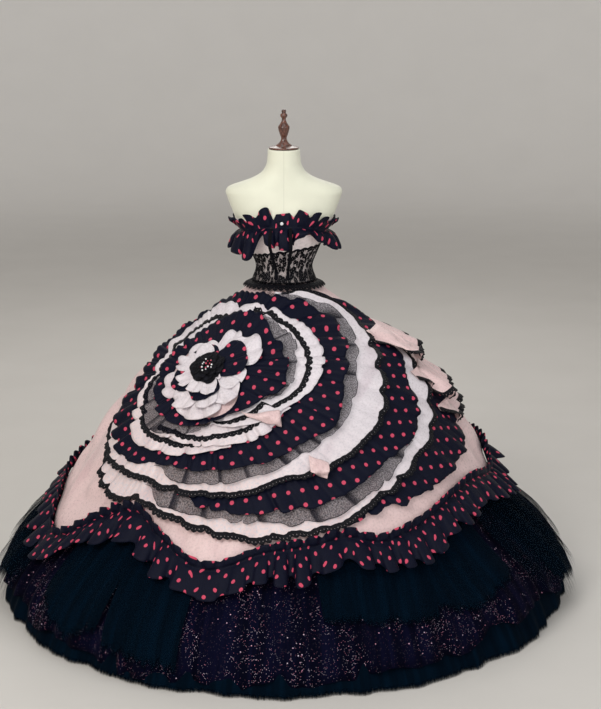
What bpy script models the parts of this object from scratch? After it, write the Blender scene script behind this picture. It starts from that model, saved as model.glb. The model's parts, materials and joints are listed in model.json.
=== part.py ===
"""A strapless ball gown on a limbless dress form.

The gown has a satin bodice, a lace waist cincher and a wide dome of skirts, with a rose of
satin, dotted and tulle tiers wound over the front. The form stands inside on a pole and a disc.

Metres, +Z up, front toward -Y, origin on the floor under the middle of the form's base disc.
Angles are degrees. Round the skirt they run from the front toward +X. On the rose, "turn" runs
round its axis from the right, anticlockwise as seen from in front, and "reach" runs away from it.
"""
import math
from collections import namedtuple

import bmesh
import bpy
import numpy as np

# Cloth thicknesses and the gap that sewn pieces keep
SATIN = 0.0012
TULLE = 0.0010
LACE = 0.0010
SEAM_GAP = 0.0003
FIT_GAP = 0.0004

# Skirt: satin surface, from the waist seam down to the floor
ProfileRow = namedtuple("ProfileRow", "z radius")
SKIRT_PROFILE = [
    ProfileRow(1.050, 0.0750), ProfileRow(1.030, 0.0980), ProfileRow(1.010, 0.1215),
    ProfileRow(0.980, 0.1600), ProfileRow(0.930, 0.2280), ProfileRow(0.880, 0.2950),
    ProfileRow(0.830, 0.3620), ProfileRow(0.760, 0.4360), ProfileRow(0.680, 0.5010),
    ProfileRow(0.580, 0.5720), ProfileRow(0.480, 0.6370), ProfileRow(0.380, 0.7080),
    ProfileRow(0.280, 0.7860), ProfileRow(0.180, 0.8680), ProfileRow(0.080, 0.9230),
    ProfileRow(0.000, 0.9380), ProfileRow(-0.050, 0.9400),
]
DOME_CENTRE_Z = 0.30
WAIST_SEAM_Z = 1.0330
WAIST_DEPTH = 0.82
SQUASH_BOTTOM_Z = 0.88
SKIRT_COLUMNS = 44
SKIRT_ROW_SHARES = [0.0, 0.05, 0.11, 0.18, 0.28, 0.40, 0.52, 0.64, 0.76, 0.88, 1.0]

# Satin overskirt's hem, caught up in swags
HemRow = namedtuple("HemRow", "angle z")
SATIN_HEM = [
    HemRow(-82, 0.360), HemRow(-63, 0.296), HemRow(-52, 0.385), HemRow(-40, 0.430), HemRow(-31, 0.386),
    HemRow(-17, 0.326), HemRow(-5, 0.372), HemRow(8, 0.392), HemRow(16, 0.406), HemRow(23, 0.385),
    HemRow(34, 0.402), HemRow(50, 0.446), HemRow(62, 0.460), HemRow(78, 0.440), HemRow(96, 0.470),
    HemRow(125, 0.430), HemRow(155, 0.465), HemRow(185, 0.420), HemRow(215, 0.460), HemRow(245, 0.400),
]
# Satin's soft folds: how many, how deep, where they begin outside the rose and how they fade upward
SATIN_FOLDS = 11
SATIN_FOLD_DEPTH = 0.008
SATIN_FOLD_DRIFT = 1.1
SATIN_FOLD_START = 3.0
SATIN_FOLD_FULL = 16.0
SATIN_FOLD_HIGH = 60.0
SATIN_FOLD_LOW = 25.0

# Hem ruffle: a frilled header above its gathering line and a flounce below
RUFFLE_COLUMNS = 96
RUFFLE_WAVES = 24
RUFFLE_HEADER = 0.024
RUFFLE_CLEAR = 0.010
RUFFLE_DROP = 0.105
RUFFLE_HEADER_STAND = 0.010
RUFFLE_DROP_STAND = 0.030
RUFFLE_DROP_WAVE = 0.013
RUFFLE_HEADER_WAVE = 0.005
RUFFLE_DRIFT = 0.05
RUFFLE_LINE_UP = 0.004
RUFFLE_SEAT = 0.0012

# Tulle skirts: how far each lies inside (-) or outside (+) the satin surface
TulleLayer = namedtuple("TulleLayer", "name top_z inset_high inset_low columns")
TULLE_BASE = TulleLayer("tulle_petticoat", 1.030, 0.050, 0.018, 56)
TULLE_GLITTER = TulleLayer("glitter_tulle_skirt", 0.560, 0.034, 0.000, 56)
TULLE_PANEL = TulleLayer("tulle_panel", 0.380, 0.016, -0.020, 8)
BASE_TOP_INSET = 0.0026
BASE_ROWS_Z = [1.030, 0.930, 0.740, 0.560, 0.360, 0.160, 0.006, 0.000]
UPRIGHT_HEM_Z = 0.006
GLITTER_ROWS_Z = [0.560, 0.380, 0.170]
TULLE_FOLDS = 14
TULLE_FOLD_DEPTH = 0.016
TULLE_FOLD_DRIFT = 0.04
TULLE_FOLD_RIPPLE = 0.015
TULLE_SEAT_BAND = 0.10
TULLE_FLARE_TOP = 0.37
TULLE_FLARE_END = 0.10
GLITTER_HEM = [
    HemRow(-120, 0.060), HemRow(-88, 0.095), HemRow(-60, 0.070), HemRow(-33, 0.030), HemRow(-12, 0.022),
    HemRow(8, 0.045), HemRow(30, 0.060), HemRow(48, 0.095), HemRow(66, 0.090), HemRow(90, 0.060),
    HemRow(140, 0.050), HemRow(190, 0.070),
]
PANEL_KNEE_Z = 0.27
PANEL_LOW_SHARE = 0.5
PANEL_SEAT_GAP = 0.0015
PanelRow = namedtuple("PanelRow", "name start end hem_start hem_end")
TULLE_PANELS = [
    PanelRow("tulle_panel_front_left", -52, -18, 0.100, 0.060),
    PanelRow("tulle_panel_front_right", 8, 43, 0.150, 0.172),
    PanelRow("tulle_panel_side_right", 78, 118, 0.120, 0.150),
    PanelRow("tulle_panel_back", 150, 196, 0.130, 0.110),
    PanelRow("tulle_panel_side_left", 226, 268, 0.120, 0.090),
]

# Rose: its axis leaves the dome's centre toward the front left, and each tier lies on the skirt
ROSE_AZIMUTH = -37.0
ROSE_ELEVATION = 53.0
TIER_SEAT = 0.0004
TIER_SEAT_HOLLOW = 0.0012
TIER_SEAT_HIGH = 56.0
TIER_SEAT_LOW = 30.0
TIER_SEAT_FADE = 10.0
TIER_LIFT = 0.0135
TIER_CURL = 1.3
TIER_STEP = 0.8
TIER_END_STEP = 0.6
TIER_TAPER = 11.0
TIER_TUCK_SHARE = 0.5
TIER_MIN_TUCK = 0.5
TIER_KEEP = 0.4
TIER_CLEARING_STEPS = 16
TIER_CLEARING_STEP = 0.5
Tier = namedtuple("Tier", "name cloth start end step rows waves wave tape outline")
TIERS = [
    Tier("rose_dotted_inner", "dotted", 24, 384, 12, 2, 5, 0.0020, None,
         [(20, 9.4), (60, 8.6), (120, 8.2), (177, 10.2), (240, 8.4), (300, 9.6), (340, 10.6)]),
    Tier("rose_satin_frill", "satin", 96, 372, 12, 2, 9, 0.0035, None,
         [(95, 9.6), (135, 11.6), (177, 12.6), (230, 10.4), (280, 10.6), (320, 11.8), (365, 11.8)]),
    Tier("rose_satin_petals", "satin", 24, 384, 12, 2, 8, 0.0035, None,
         [(20, 14.6), (39, 15.9), (62, 15.6), (80, 13.8), (100, 11.0), (140, 12.8), (177, 13.9),
          (206, 14.3), (232, 14.2), (262, 14.2), (285, 16.2), (306, 17.2), (334, 16.3), (355, 13.6)]),
    Tier("rose_dotted_1", "dotted", 24, 384, 12, 2, 7, 0.0030, None,
         [(20, 22.8), (46, 20.2), (67, 19.7), (85, 18.8), (107, 17.5), (150, 16.2), (182, 17.1),
          (211, 17.6), (240, 18.3), (282, 18.5), (329, 18.9), (351, 21.1), (365, 23.6)]),
    Tier("rose_tulle_1_right", "tulle", -12, 84, 12, 1, 2, 0.0020, None,
         [(-4, 23.6), (8, 25.2), (28, 24.9), (46, 24.0), (62, 21.8), (78, 20.0)]),
    Tier("rose_tulle_1_left", "tulle", 192, 300, 12, 1, 2, 0.0020, None,
         [(196, 18.6), (212, 21.5), (236, 23.6), (262, 22.0), (292, 19.6)]),
    Tier("rose_satin_1_right", "satin", -60, 102, 6, 2, 4, 0.0025, (0.52, 0.74),
         [(-58, 19.8), (-40, 22.4), (-20, 26.0), (0, 28.9), (14, 31.4), (29, 32.1), (40, 31.1),
          (53, 28.4), (69, 24.4), (84, 21.4), (98, 19.2)]),
    Tier("rose_satin_1_low", "satin", 246, 354, 6, 2, 3, 0.0025, (0.52, 0.78),
         [(246, 19.2), (257, 21.0), (274, 23.1), (291, 24.4), (312, 26.6), (330, 28.4), (344, 28.9),
          (352, 28.6)]),
    Tier("rose_satin_1_left", "satin", 90, 312, 6, 2, 6, 0.0025, (0.52, 0.76),
         [(90, 20.4), (113, 23.4), (132, 26.0), (152, 24.0), (172, 20.6), (194, 19.8), (207, 23.0),
          (222, 26.4), (242, 28.9), (258, 27.4), (276, 26.8), (296, 26.4), (312, 27.6)]),
    Tier("rose_dotted_2", "dotted", 0, 360, 6, 2, 9, 0.0034, None,
         [(1, 41.2), (15, 38.9), (34, 38.9), (50, 37.3), (59, 34.0), (70, 28.8), (88, 26.2),
          (125, 28.2), (160, 27.0), (189, 28.4), (206, 34.2), (226, 34.7), (243, 34.2), (256, 31.6),
          (273, 30.0), (289, 31.2), (312, 33.3), (329, 36.0), (344, 37.4)]),
    Tier("rose_tulle_2", "tulle", -96, 84, 6, 1, 5, 0.0015, None,
         [(-94, 31.2), (-84, 33.6), (-66, 35.0), (-46, 37.2), (-30, 38.6), (-14, 40.4), (2, 42.4),
          (20, 42.2), (38, 42.0), (49, 41.9), (57, 39.6), (66, 35.6), (80, 29.0)]),
    Tier("rose_satin_2", "satin", -156, 72, 6, 2, 7, 0.0030, (0.80, 1.0),
         [(-156, 35.6), (-148, 38.8), (-132, 39.0), (-108, 36.4), (-95, 35.9), (-84, 36.4), (-66, 38.2),
          (-48, 41.0), (-34, 42.2), (-24, 45.0), (-14, 48.0), (3, 50.9), (14, 52.2), (27, 50.0),
          (46, 48.2), (59, 46.6), (71, 38.6)]),
    Tier("rose_dotted_3", "dotted", -78, 66, 6, 2, 6, 0.0040, None,
         [(-76, 38.6), (-66, 40.8), (-54, 44.4), (-43, 47.0), (-30, 51.6), (-16, 55.2), (-2, 57.6),
          (13, 62.4), (24, 62.6), (36, 58.0), (52, 56.0), (66, 47.0)]),
    Tier("rose_tulle_3", "tulle", -96, 12, 6, 1, 4, 0.0025, None,
         [(-96, 38.6), (-84, 40.4), (-66, 43.4), (-52, 46.8), (-40, 51.6), (-28, 56.0), (-12, 59.6),
          (4, 61.8), (12, 62.8)]),
    Tier("rose_satin_3", "satin", -138, 60, 6, 2, 8, 0.0035, (0.80, 1.0),
         [(-134, 41.0), (-122, 43.6), (-107, 43.0), (-94, 41.0), (-84, 42.4), (-66, 46.8), (-50, 52.4),
          (-34, 58.2), (-18, 61.2), (-4, 64.0), (8, 66.4), (20, 69.0), (34, 67.0), (46, 61.6),
          (58, 55.0)]),
    Tier("rose_dotted_4", "dotted", -24, 48, 6, 2, 4, 0.0045, None,
         [(-22, 60.8), (-12, 65.0), (-2, 71.0), (8, 75.6), (18, 80.4), (27, 82.8), (36, 78.0),
          (50, 64.0)]),
]

# Heart of the rose: a small flower of net petals with beads
HEART_REACH = 6.0
HEART_PETALS = 5
HEART_SEAT = -0.0008
HEART_LIFT = 0.0150
HEART_LOBE = 0.10
HEART_SHARES = [0.05, 0.5, 1.0]

# Dress form: half sizes of its sections, front and back depths apart
TorsoRow = namedtuple("TorsoRow", "z half_width front back")
TORSO = [
    TorsoRow(0.800, 0.138, 0.100, 0.108), TorsoRow(0.860, 0.145, 0.106, 0.120),
    TorsoRow(0.920, 0.131, 0.098, 0.112), TorsoRow(0.980, 0.110, 0.086, 0.090),
    TorsoRow(1.010, 0.098, 0.079, 0.080), TorsoRow(1.033, 0.0910, 0.0745, 0.0745),
    TorsoRow(1.062, 0.0872, 0.0715, 0.0715),
    TorsoRow(1.090, 0.0905, 0.0760, 0.0735), TorsoRow(1.115, 0.1000, 0.0880, 0.0780),
    TorsoRow(1.140, 0.1110, 0.1010, 0.0830), TorsoRow(1.180, 0.1280, 0.1180, 0.0910),
    TorsoRow(1.210, 0.1410, 0.1200, 0.0970), TorsoRow(1.240, 0.1580, 0.1120, 0.1020),
    TorsoRow(1.275, 0.1720, 0.0990, 0.1040), TorsoRow(1.305, 0.1830, 0.0870, 0.1000),
    TorsoRow(1.325, 0.1870, 0.0790, 0.0930), TorsoRow(1.338, 0.1760, 0.0730, 0.0860),
    TorsoRow(1.349, 0.1450, 0.0680, 0.0790), TorsoRow(1.361, 0.1100, 0.0630, 0.0720),
    TorsoRow(1.378, 0.0780, 0.0580, 0.0640), TorsoRow(1.402, 0.0590, 0.0540, 0.0570),
    TorsoRow(1.430, 0.0530, 0.0520, 0.0530), TorsoRow(1.457, 0.0515, 0.0515, 0.0515),
]
TORSO_COLUMNS = 24
TORSO_SQUARENESS = 2.15

# Bodice, cincher and neckline ruffle, on the form's own rows
BODICE_BOTTOM_ROW = 5
BODICE_TOP_ROW = 12
BODICE_THICK = 0.0015
CINCHER_TOP_ROW = 9
CINCHER_SKIRT_ROWS = [(1.0240, 0.0060), (1.0080, 0.0035)]
CINCHER_EASE = 0.0003
CINCHER_TRIM_DROP = 0.010
CINCHER_TRIM_DOWN = 0.0005
NECK_RUFFLE_COLUMNS = 56
NECK_RUFFLE_WAVES = 14
NECK_GATHER_Z = 1.222
NECK_TOP_Z = 1.262
NECK_HEM = [
    HemRow(-90, 1.128), HemRow(-60, 1.116), HemRow(-44, 1.108), HemRow(-33, 1.135), HemRow(-24, 1.158),
    HemRow(-15, 1.136), HemRow(-4, 1.128), HemRow(7, 1.132), HemRow(17, 1.160), HemRow(30, 1.170),
    HemRow(44, 1.150), HemRow(60, 1.134), HemRow(90, 1.138), HemRow(135, 1.150), HemRow(180, 1.150),
    HemRow(225, 1.145),
]
NECK_HEADER_STAND = 0.009
NECK_DROP_STAND = 0.030
NECK_DROP_WAVE = 0.013
NECK_HEADER_WAVE = 0.004
NECK_TOP_WAVES = 5
NECK_TOP_WAVE = 0.005
NECK_MIDDLE_SHARE = 0.55
NECK_MIDDLE_STAND = 0.8
NECK_MIDDLE_WAVE = 0.6
NECK_SEAT = 0.0010
NECK_PLUMB = 0.44
NECK_PLUMB_Z = 1.180

# Ribbon tails, on columns of the ruffle, and the knot and gem at the middle of the neckline
TailRow = namedtuple("TailRow", "z stand")
TAIL_LEFT_COLUMN = -2
TAIL_RIGHT_COLUMN = 1
TAIL_CLEAR = [0.0011, 0.0078, 0.0070]
TAIL_DROP = [TailRow(1.098, 0.0240), TailRow(1.070, 0.0070), TailRow(1.048, 0.0115)]
TAIL_WIDTH = 0.009
TAIL_THICK = 0.0012
KNOT_X = -0.006
KNOT_Z = 1.238
KNOT_STAND = 0.0107
KNOT_RADIUS = 0.009
GEM_RADIUS = 0.0055
BALL_FLATNESS = 0.5
BALL_HEIGHT = 0.8

# Stand inside the skirt and the turned cap on the neck
BASE_RADIUS = 0.170
BASE_THICK = 0.018
BASE_BEVEL = 0.004
BASE_STEPS = 24
POLE_RADIUS = 0.014
POLE_STEPS = 16
CapRow = namedtuple("CapRow", "radius height")
CAP_Z = 1.4573
CAP_PROFILE = [
    CapRow(0.0000, 0.1265), CapRow(0.0050, 0.1255), CapRow(0.0077, 0.1215), CapRow(0.0070, 0.1170),
    CapRow(0.0062, 0.1145), CapRow(0.0105, 0.1110), CapRow(0.0120, 0.1065), CapRow(0.0100, 0.1015),
    CapRow(0.0064, 0.0970), CapRow(0.0068, 0.0900), CapRow(0.0120, 0.0800), CapRow(0.0180, 0.0725),
    CapRow(0.0190, 0.0695), CapRow(0.0175, 0.0610), CapRow(0.0130, 0.0460), CapRow(0.0092, 0.0370),
    CapRow(0.0090, 0.0310), CapRow(0.0130, 0.0220), CapRow(0.0250, 0.0130), CapRow(0.0260, 0.0090),
    CapRow(0.0460, 0.0070), CapRow(0.0490, 0.0045), CapRow(0.0480, 0.0000), CapRow(0.0000, 0.0000),
]
CAP_STEPS = 12

# Plain colours: base colour, roughness, metallic
Finish = namedtuple("Finish", "colour roughness metallic")
FINISHES = {
    "satin": Finish((0.86, 0.74, 0.75), 0.35, 0.0),
    "dotted": Finish((0.012, 0.013, 0.028), 0.55, 0.0),
    "tulle": Finish((0.03, 0.03, 0.04), 0.80, 0.0),
    "dark_tulle": Finish((0.006, 0.012, 0.022), 0.80, 0.0),
    "glitter_tulle": Finish((0.02, 0.018, 0.04), 0.45, 0.0),
    "lace": Finish((0.010, 0.010, 0.014), 0.75, 0.0),
    "velvet": Finish((0.004, 0.004, 0.006), 0.90, 0.0),
    "form_cloth": Finish((0.80, 0.77, 0.66), 0.75, 0.0),
    "turned_wood": Finish((0.060, 0.026, 0.014), 0.28, 0.0),
    "painted_metal": Finish((0.03, 0.03, 0.03), 0.40, 0.6),
    "gem": Finish((0.92, 0.92, 0.95), 0.08, 0.0),
}


def ramp(low, high, value):
    """0 up to low, 1 from high on, with a smooth rise between."""
    t = np.clip((value - low) / (high - low), 0.0, 1.0)
    return t * t * (3.0 - 2.0 * t)


def smooth(xs, ys, x):
    """A cubic through points whose xs rise, with the neighbours' mean slopes."""
    xs = np.asarray(xs, float)
    ys = np.asarray(ys, float)
    slopes = np.gradient(ys, xs)
    x = np.clip(x, xs[0], xs[-1])
    i = np.clip(np.searchsorted(xs, x) - 1, 0, len(xs) - 2)
    width = xs[i + 1] - xs[i]
    t = (x - xs[i]) / width
    start = (1 + 2 * t) * (1 - t) ** 2 * ys[i] + t * (1 - t) ** 2 * width * slopes[i]
    end = t * t * (3 - 2 * t) * ys[i + 1] + t * t * (t - 1) * width * slopes[i + 1]
    return start + end


def smooth_round(rows, angle):
    """The same round a full circle, from (angle, value) rows."""
    rows = sorted((row[0] % 360.0, row[1]) for row in rows)
    angles = [turn + a for turn in (-360.0, 0.0, 360.0) for a, _ in rows]
    values = [v for _ in range(3) for _, v in rows]
    return smooth(angles, values, np.mod(angle, 360.0))


PROFILE_Z = np.linspace(SKIRT_PROFILE[-1].z, SKIRT_PROFILE[0].z, 400)
PROFILE_R = smooth([row.z for row in SKIRT_PROFILE[::-1]],
                   [row.radius for row in SKIRT_PROFILE[::-1]], PROFILE_Z)
PROFILE_ELEVATION = np.arctan2(PROFILE_Z - DOME_CENTRE_Z, PROFILE_R)
PROFILE_REACH = np.hypot(PROFILE_Z - DOME_CENTRE_Z, PROFILE_R)


def direction(azimuth, elevation):
    """Unit vector from the dome's centre, its angles in radians."""
    flat = np.cos(elevation)
    return np.stack([flat * np.sin(azimuth), -flat * np.cos(azimuth), np.sin(elevation)], axis=-1)


ROSE_AXIS = direction(math.radians(ROSE_AZIMUTH), math.radians(ROSE_ELEVATION))
ROSE_UP = np.array([0.0, 0.0, 1.0]) - ROSE_AXIS[2] * ROSE_AXIS
ROSE_UP /= np.linalg.norm(ROSE_UP)
ROSE_RIGHT = np.cross(ROSE_UP, ROSE_AXIS)


def rose_direction(turn, reach):
    """Unit vector at a turn round the rose's axis and a reach away from it, in degrees."""
    turn = np.radians(turn)[..., None]
    reach = np.radians(reach)[..., None]
    side = np.cos(turn) * ROSE_RIGHT + np.sin(turn) * ROSE_UP
    return np.cos(reach) * ROSE_AXIS + np.sin(reach) * side


def rose_angles(vectors):
    """The turn and reach, in degrees, of directions from the dome's centre."""
    along = vectors @ ROSE_AXIS
    turn = np.degrees(np.arctan2(vectors @ ROSE_UP, vectors @ ROSE_RIGHT))
    return turn, np.degrees(np.arccos(np.clip(along / np.linalg.norm(vectors, axis=-1), -1, 1)))


def rose_outline():
    """How far the finished rose reaches at each whole degree of turn."""
    turns = np.arange(-180.0, 181.0)
    reach = np.zeros(turns.shape)
    for tier in TIERS:
        for shift in (-360.0, 0.0, 360.0):
            inside = (turns + shift >= tier.start) & (turns + shift <= tier.end)
            edge = smooth([row[0] for row in tier.outline], [row[1] for row in tier.outline], turns + shift)
            reach = np.where(inside, np.maximum(reach, edge), reach)
    return turns, reach


OUTLINE_TURNS, OUTLINE_REACH = rose_outline()


def satin_fold(vectors):
    """Soft outward folds of the satin, below and beside the rose only."""
    turn, reach = rose_angles(vectors)
    outside = reach - np.interp(turn, OUTLINE_TURNS, OUTLINE_REACH)
    azimuth = np.arctan2(vectors[..., 0], -vectors[..., 1])
    elevation = np.degrees(np.arcsin(vectors[..., 2] / np.linalg.norm(vectors, axis=-1)))
    wave = 0.5 + 0.5 * np.cos(SATIN_FOLDS * azimuth + SATIN_FOLD_DRIFT * np.sin(3 * azimuth + 0.7))
    beside = ramp(SATIN_FOLD_START, SATIN_FOLD_FULL, outside)
    return SATIN_FOLD_DEPTH * wave * beside * ramp(SATIN_FOLD_HIGH, SATIN_FOLD_LOW, elevation)


def squash(points):
    """Flatten the skirt's top front to back, toward the waist's oval."""
    points = np.array(points)
    amount = ramp(SQUASH_BOTTOM_Z, WAIST_SEAM_Z, points[..., 2])
    points[..., 1] *= 1.0 - (1.0 - WAIST_DEPTH) * amount
    return points


def on_dome(vectors, out):
    """Points over the satin surface, moved out from the dome's centre."""
    elevation = np.arcsin(np.clip(vectors[..., 2], -1.0, 1.0))
    distance = np.interp(elevation, PROFILE_ELEVATION, PROFILE_REACH) + satin_fold(vectors) + out
    centre = np.array([0.0, 0.0, DOME_CENTRE_Z])
    return squash(centre + distance[..., None] * vectors)


def dome_elevation(z):
    """Elevation from the dome's centre of the satin surface at a height."""
    radius = np.interp(z, PROFILE_Z, PROFILE_R)
    return np.arctan2(z - DOME_CENTRE_Z, radius)


def skirt_points(azimuths, heights, out):
    """Points on the satin surface at given heights, moved out."""
    return on_dome(direction(azimuths, dome_elevation(heights)), out)


def tulle_fold(azimuths, heights):
    """Depth of the tulle's shared folds, which deepen toward the hem."""
    drift = TULLE_FOLD_DRIFT * np.sin(3 * azimuths + 1.0)
    ripple = TULLE_FOLD_RIPPLE * np.sin(7 * azimuths)
    wave = 0.5 + 0.5 * np.cos(TULLE_FOLDS * (azimuths + drift + ripple))
    return TULLE_FOLD_DEPTH * wave * ramp(TULLE_FLARE_TOP, TULLE_FLARE_END, heights)


def tulle_points(layer, azimuths, heights, seat_inset):
    """Points of one tulle layer, seated at its top edge on what carries it, upright at the floor."""
    low = ramp(TULLE_FLARE_TOP, TULLE_FLARE_END, heights)
    inset = layer.inset_high + (layer.inset_low - layer.inset_high) * low
    top = ramp(layer.top_z - TULLE_SEAT_BAND, layer.top_z, heights)
    inset = inset + (seat_inset - inset) * top
    profile = np.interp(np.maximum(heights, UPRIGHT_HEM_Z), PROFILE_Z, PROFILE_R)
    radius = profile - inset + tulle_fold(azimuths, heights)
    points = np.stack([radius * np.sin(azimuths), -radius * np.cos(azimuths), heights], axis=-1)
    return squash(points)


def torso_at(azimuths, heights, out):
    """Points round the form at any heights, moved out, its front and back depths apart."""
    zs = [row.z for row in TORSO]
    half_width = np.interp(heights, zs, [row.half_width for row in TORSO])
    front = np.interp(heights, zs, [row.front for row in TORSO])
    back = np.interp(heights, zs, [row.back for row in TORSO])
    across = np.sin(azimuths)
    ahead = np.cos(azimuths)
    power = 2.0 / TORSO_SQUARENESS
    x = (half_width + out) * np.sign(across) * np.abs(across) ** power
    y = -(np.where(ahead > 0, front, back) + out) * np.sign(ahead) * np.abs(ahead) ** power
    return np.stack([x, y, heights], axis=-1)


def torso_section(row, azimuths, out):
    """One ring of the form, moved out."""
    return torso_at(azimuths, np.full(azimuths.shape, row.z), out)


def ring_angles(columns):
    """Even azimuths of a closed ring, the first one at the back seam."""
    return np.radians(np.arange(columns) * 360.0 / columns - 180.0)


def material(cloth):
    """The plain material of a cloth or finish."""
    found = bpy.data.materials.get(cloth)
    if found:
        return found
    made = bpy.data.materials.new(cloth)
    made.use_nodes = True
    shader = made.node_tree.nodes["Principled BSDF"]
    shader.inputs["Base Color"].default_value = (*FINISHES[cloth].colour, 1.0)
    shader.inputs["Roughness"].default_value = FINISHES[cloth].roughness
    shader.inputs["Metallic"].default_value = FINISHES[cloth].metallic
    return made


def add_mesh(name, vertices, faces, cloth, parts):
    """A mesh object in the part's collection, shaded smooth."""
    mesh = bpy.data.meshes.new(name)
    mesh.from_pydata([tuple(map(float, v)) for v in vertices], [], faces)
    mesh.materials.append(material(cloth))
    mesh.shade_smooth()
    made = bpy.data.objects.new(name, mesh)
    parts.objects.link(made)
    return made


def grid_faces(rows, columns, closed):
    """Quads of a grid of rows from top to bottom, facing out."""
    last = columns if closed else columns - 1
    faces = []
    for r in range(rows - 1):
        for c in range(last):
            beside = (c + 1) % columns
            faces.append((r * columns + c, (r + 1) * columns + c,
                          (r + 1) * columns + beside, r * columns + beside))
    return faces


def add_cloth(name, grid, closed, thick, cloth, parts, outward=True):
    """A cloth wall: an open grid of points with its thickness on the outside or the inside."""
    rows, columns = grid.shape[:2]
    made = add_mesh(name, grid.reshape(-1, 3), grid_faces(rows, columns, closed), cloth, parts)
    wall = made.modifiers.new("thickness", "SOLIDIFY")
    wall.thickness = thick
    wall.offset = 1.0 if outward else -1.0
    return made


def add_seamed(spans, grid, thick, cloth, parts):
    """Pieces cut from a closed grid, each over its span of columns, half a seam gap in at its ends."""
    for name, span in spans.items():
        piece = grid[:, [c % TORSO_COLUMNS for c in span]].copy()
        for edge, beside in ((0, 1), (-1, -2)):
            along = piece[:, beside] - piece[:, edge]
            along /= np.linalg.norm(along, axis=-1, keepdims=True)
            piece[:, edge] += along * SEAM_GAP / 2
        add_cloth(name, piece, False, thick, cloth, parts)


def add_form(parts):
    """The form's torso, lofted through its sections and capped."""
    azimuths = ring_angles(TORSO_COLUMNS)
    rings = [torso_section(row, azimuths, 0.0) for row in TORSO[::-1]]
    vertices = np.concatenate(rings)
    faces = grid_faces(len(rings), TORSO_COLUMNS, True)
    faces.append(tuple(range(TORSO_COLUMNS)))
    bottom = (len(rings) - 1) * TORSO_COLUMNS
    faces.append(tuple(reversed(range(bottom, bottom + TORSO_COLUMNS))))
    add_mesh("form_torso", vertices, faces, "form_cloth", parts)


def add_turned(name, profile, z, steps, cloth, parts):
    """A turned piece: its profile, top to bottom, swept round the Z axis."""
    mesh = bpy.data.meshes.new(name)
    points = [(row.radius, 0.0, row.height) for row in profile]
    edges = [(i, i + 1) for i in range(len(points) - 1)]
    mesh.from_pydata(points, edges, [])
    mesh.materials.append(material(cloth))
    made = bpy.data.objects.new(name, mesh)
    made.location.z = z
    parts.objects.link(made)
    sweep = made.modifiers.new("turn", "SCREW")
    sweep.steps = steps
    sweep.render_steps = steps
    sweep.use_merge_vertices = True
    sweep.merge_threshold = 0.0001
    sweep.use_smooth_shade = True
    return made


def add_stand(parts):
    """The base disc on the floor, the pole and the turned cap on the neck."""
    disc = [CapRow(0.0, BASE_THICK), CapRow(BASE_RADIUS - BASE_BEVEL, BASE_THICK),
            CapRow(BASE_RADIUS, BASE_THICK - BASE_BEVEL), CapRow(BASE_RADIUS, 0.0), CapRow(0.0, 0.0)]
    add_turned("stand_base_disc", disc, 0.0, BASE_STEPS, "painted_metal", parts)
    length = TORSO[0].z - BASE_THICK - 2 * SEAM_GAP
    pole = [CapRow(0.0, length), CapRow(POLE_RADIUS, length), CapRow(POLE_RADIUS, 0.0), CapRow(0.0, 0.0)]
    add_turned("stand_pole", pole, BASE_THICK + SEAM_GAP, POLE_STEPS, "painted_metal", parts)
    add_turned("neck_cap_finial", CAP_PROFILE, CAP_Z, CAP_STEPS, "turned_wood", parts)


def add_bodice(parts):
    """The satin bodice in a front and two backs, over the form from the waist seam up."""
    azimuths = ring_angles(TORSO_COLUMNS)
    rows = TORSO[BODICE_BOTTOM_ROW:BODICE_TOP_ROW + 1][::-1]
    grid = np.stack([torso_section(row, azimuths, FIT_GAP) for row in rows])
    grid[-1, :, 2] += SEAM_GAP
    quarter = TORSO_COLUMNS // 4
    spans = {
        "bodice_back_left": range(0, quarter + 1),
        "bodice_front": range(quarter, 3 * quarter + 1),
        "bodice_back_right": range(3 * quarter, TORSO_COLUMNS + 1),
    }
    add_seamed(spans, grid, BODICE_THICK, "satin", parts)


def add_cincher(parts):
    """The lace cincher over the bodice, flaring onto the skirt's top, in a front and a back."""
    azimuths = ring_angles(TORSO_COLUMNS)
    over_bodice = FIT_GAP + BODICE_THICK + FIT_GAP + CINCHER_EASE
    rows = TORSO[BODICE_BOTTOM_ROW + 1:CINCHER_TOP_ROW + 1][::-1]
    rings = [torso_section(row, azimuths, over_bodice) for row in rows]
    for z, stand in CINCHER_SKIRT_ROWS:
        rings.append(skirt_points(azimuths, np.full(azimuths.shape, z), stand))
    grid = np.stack(rings)
    half = TORSO_COLUMNS // 2
    quarter = TORSO_COLUMNS // 4
    spans = {
        "cincher_front": range(quarter, quarter + half + 1),
        "cincher_back": range(quarter + half, quarter + 2 * half + 1),
    }
    add_seamed(spans, grid, LACE, "lace", parts)
    bottom, stand = CINCHER_SKIRT_ROWS[-1]
    trim = [skirt_points(azimuths, np.full(azimuths.shape, bottom - down), stand)
            for down in (CINCHER_TRIM_DOWN, CINCHER_TRIM_DROP)]
    add_cloth("cincher_hem_lace", np.stack(trim), True, LACE, "lace", parts)


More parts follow.
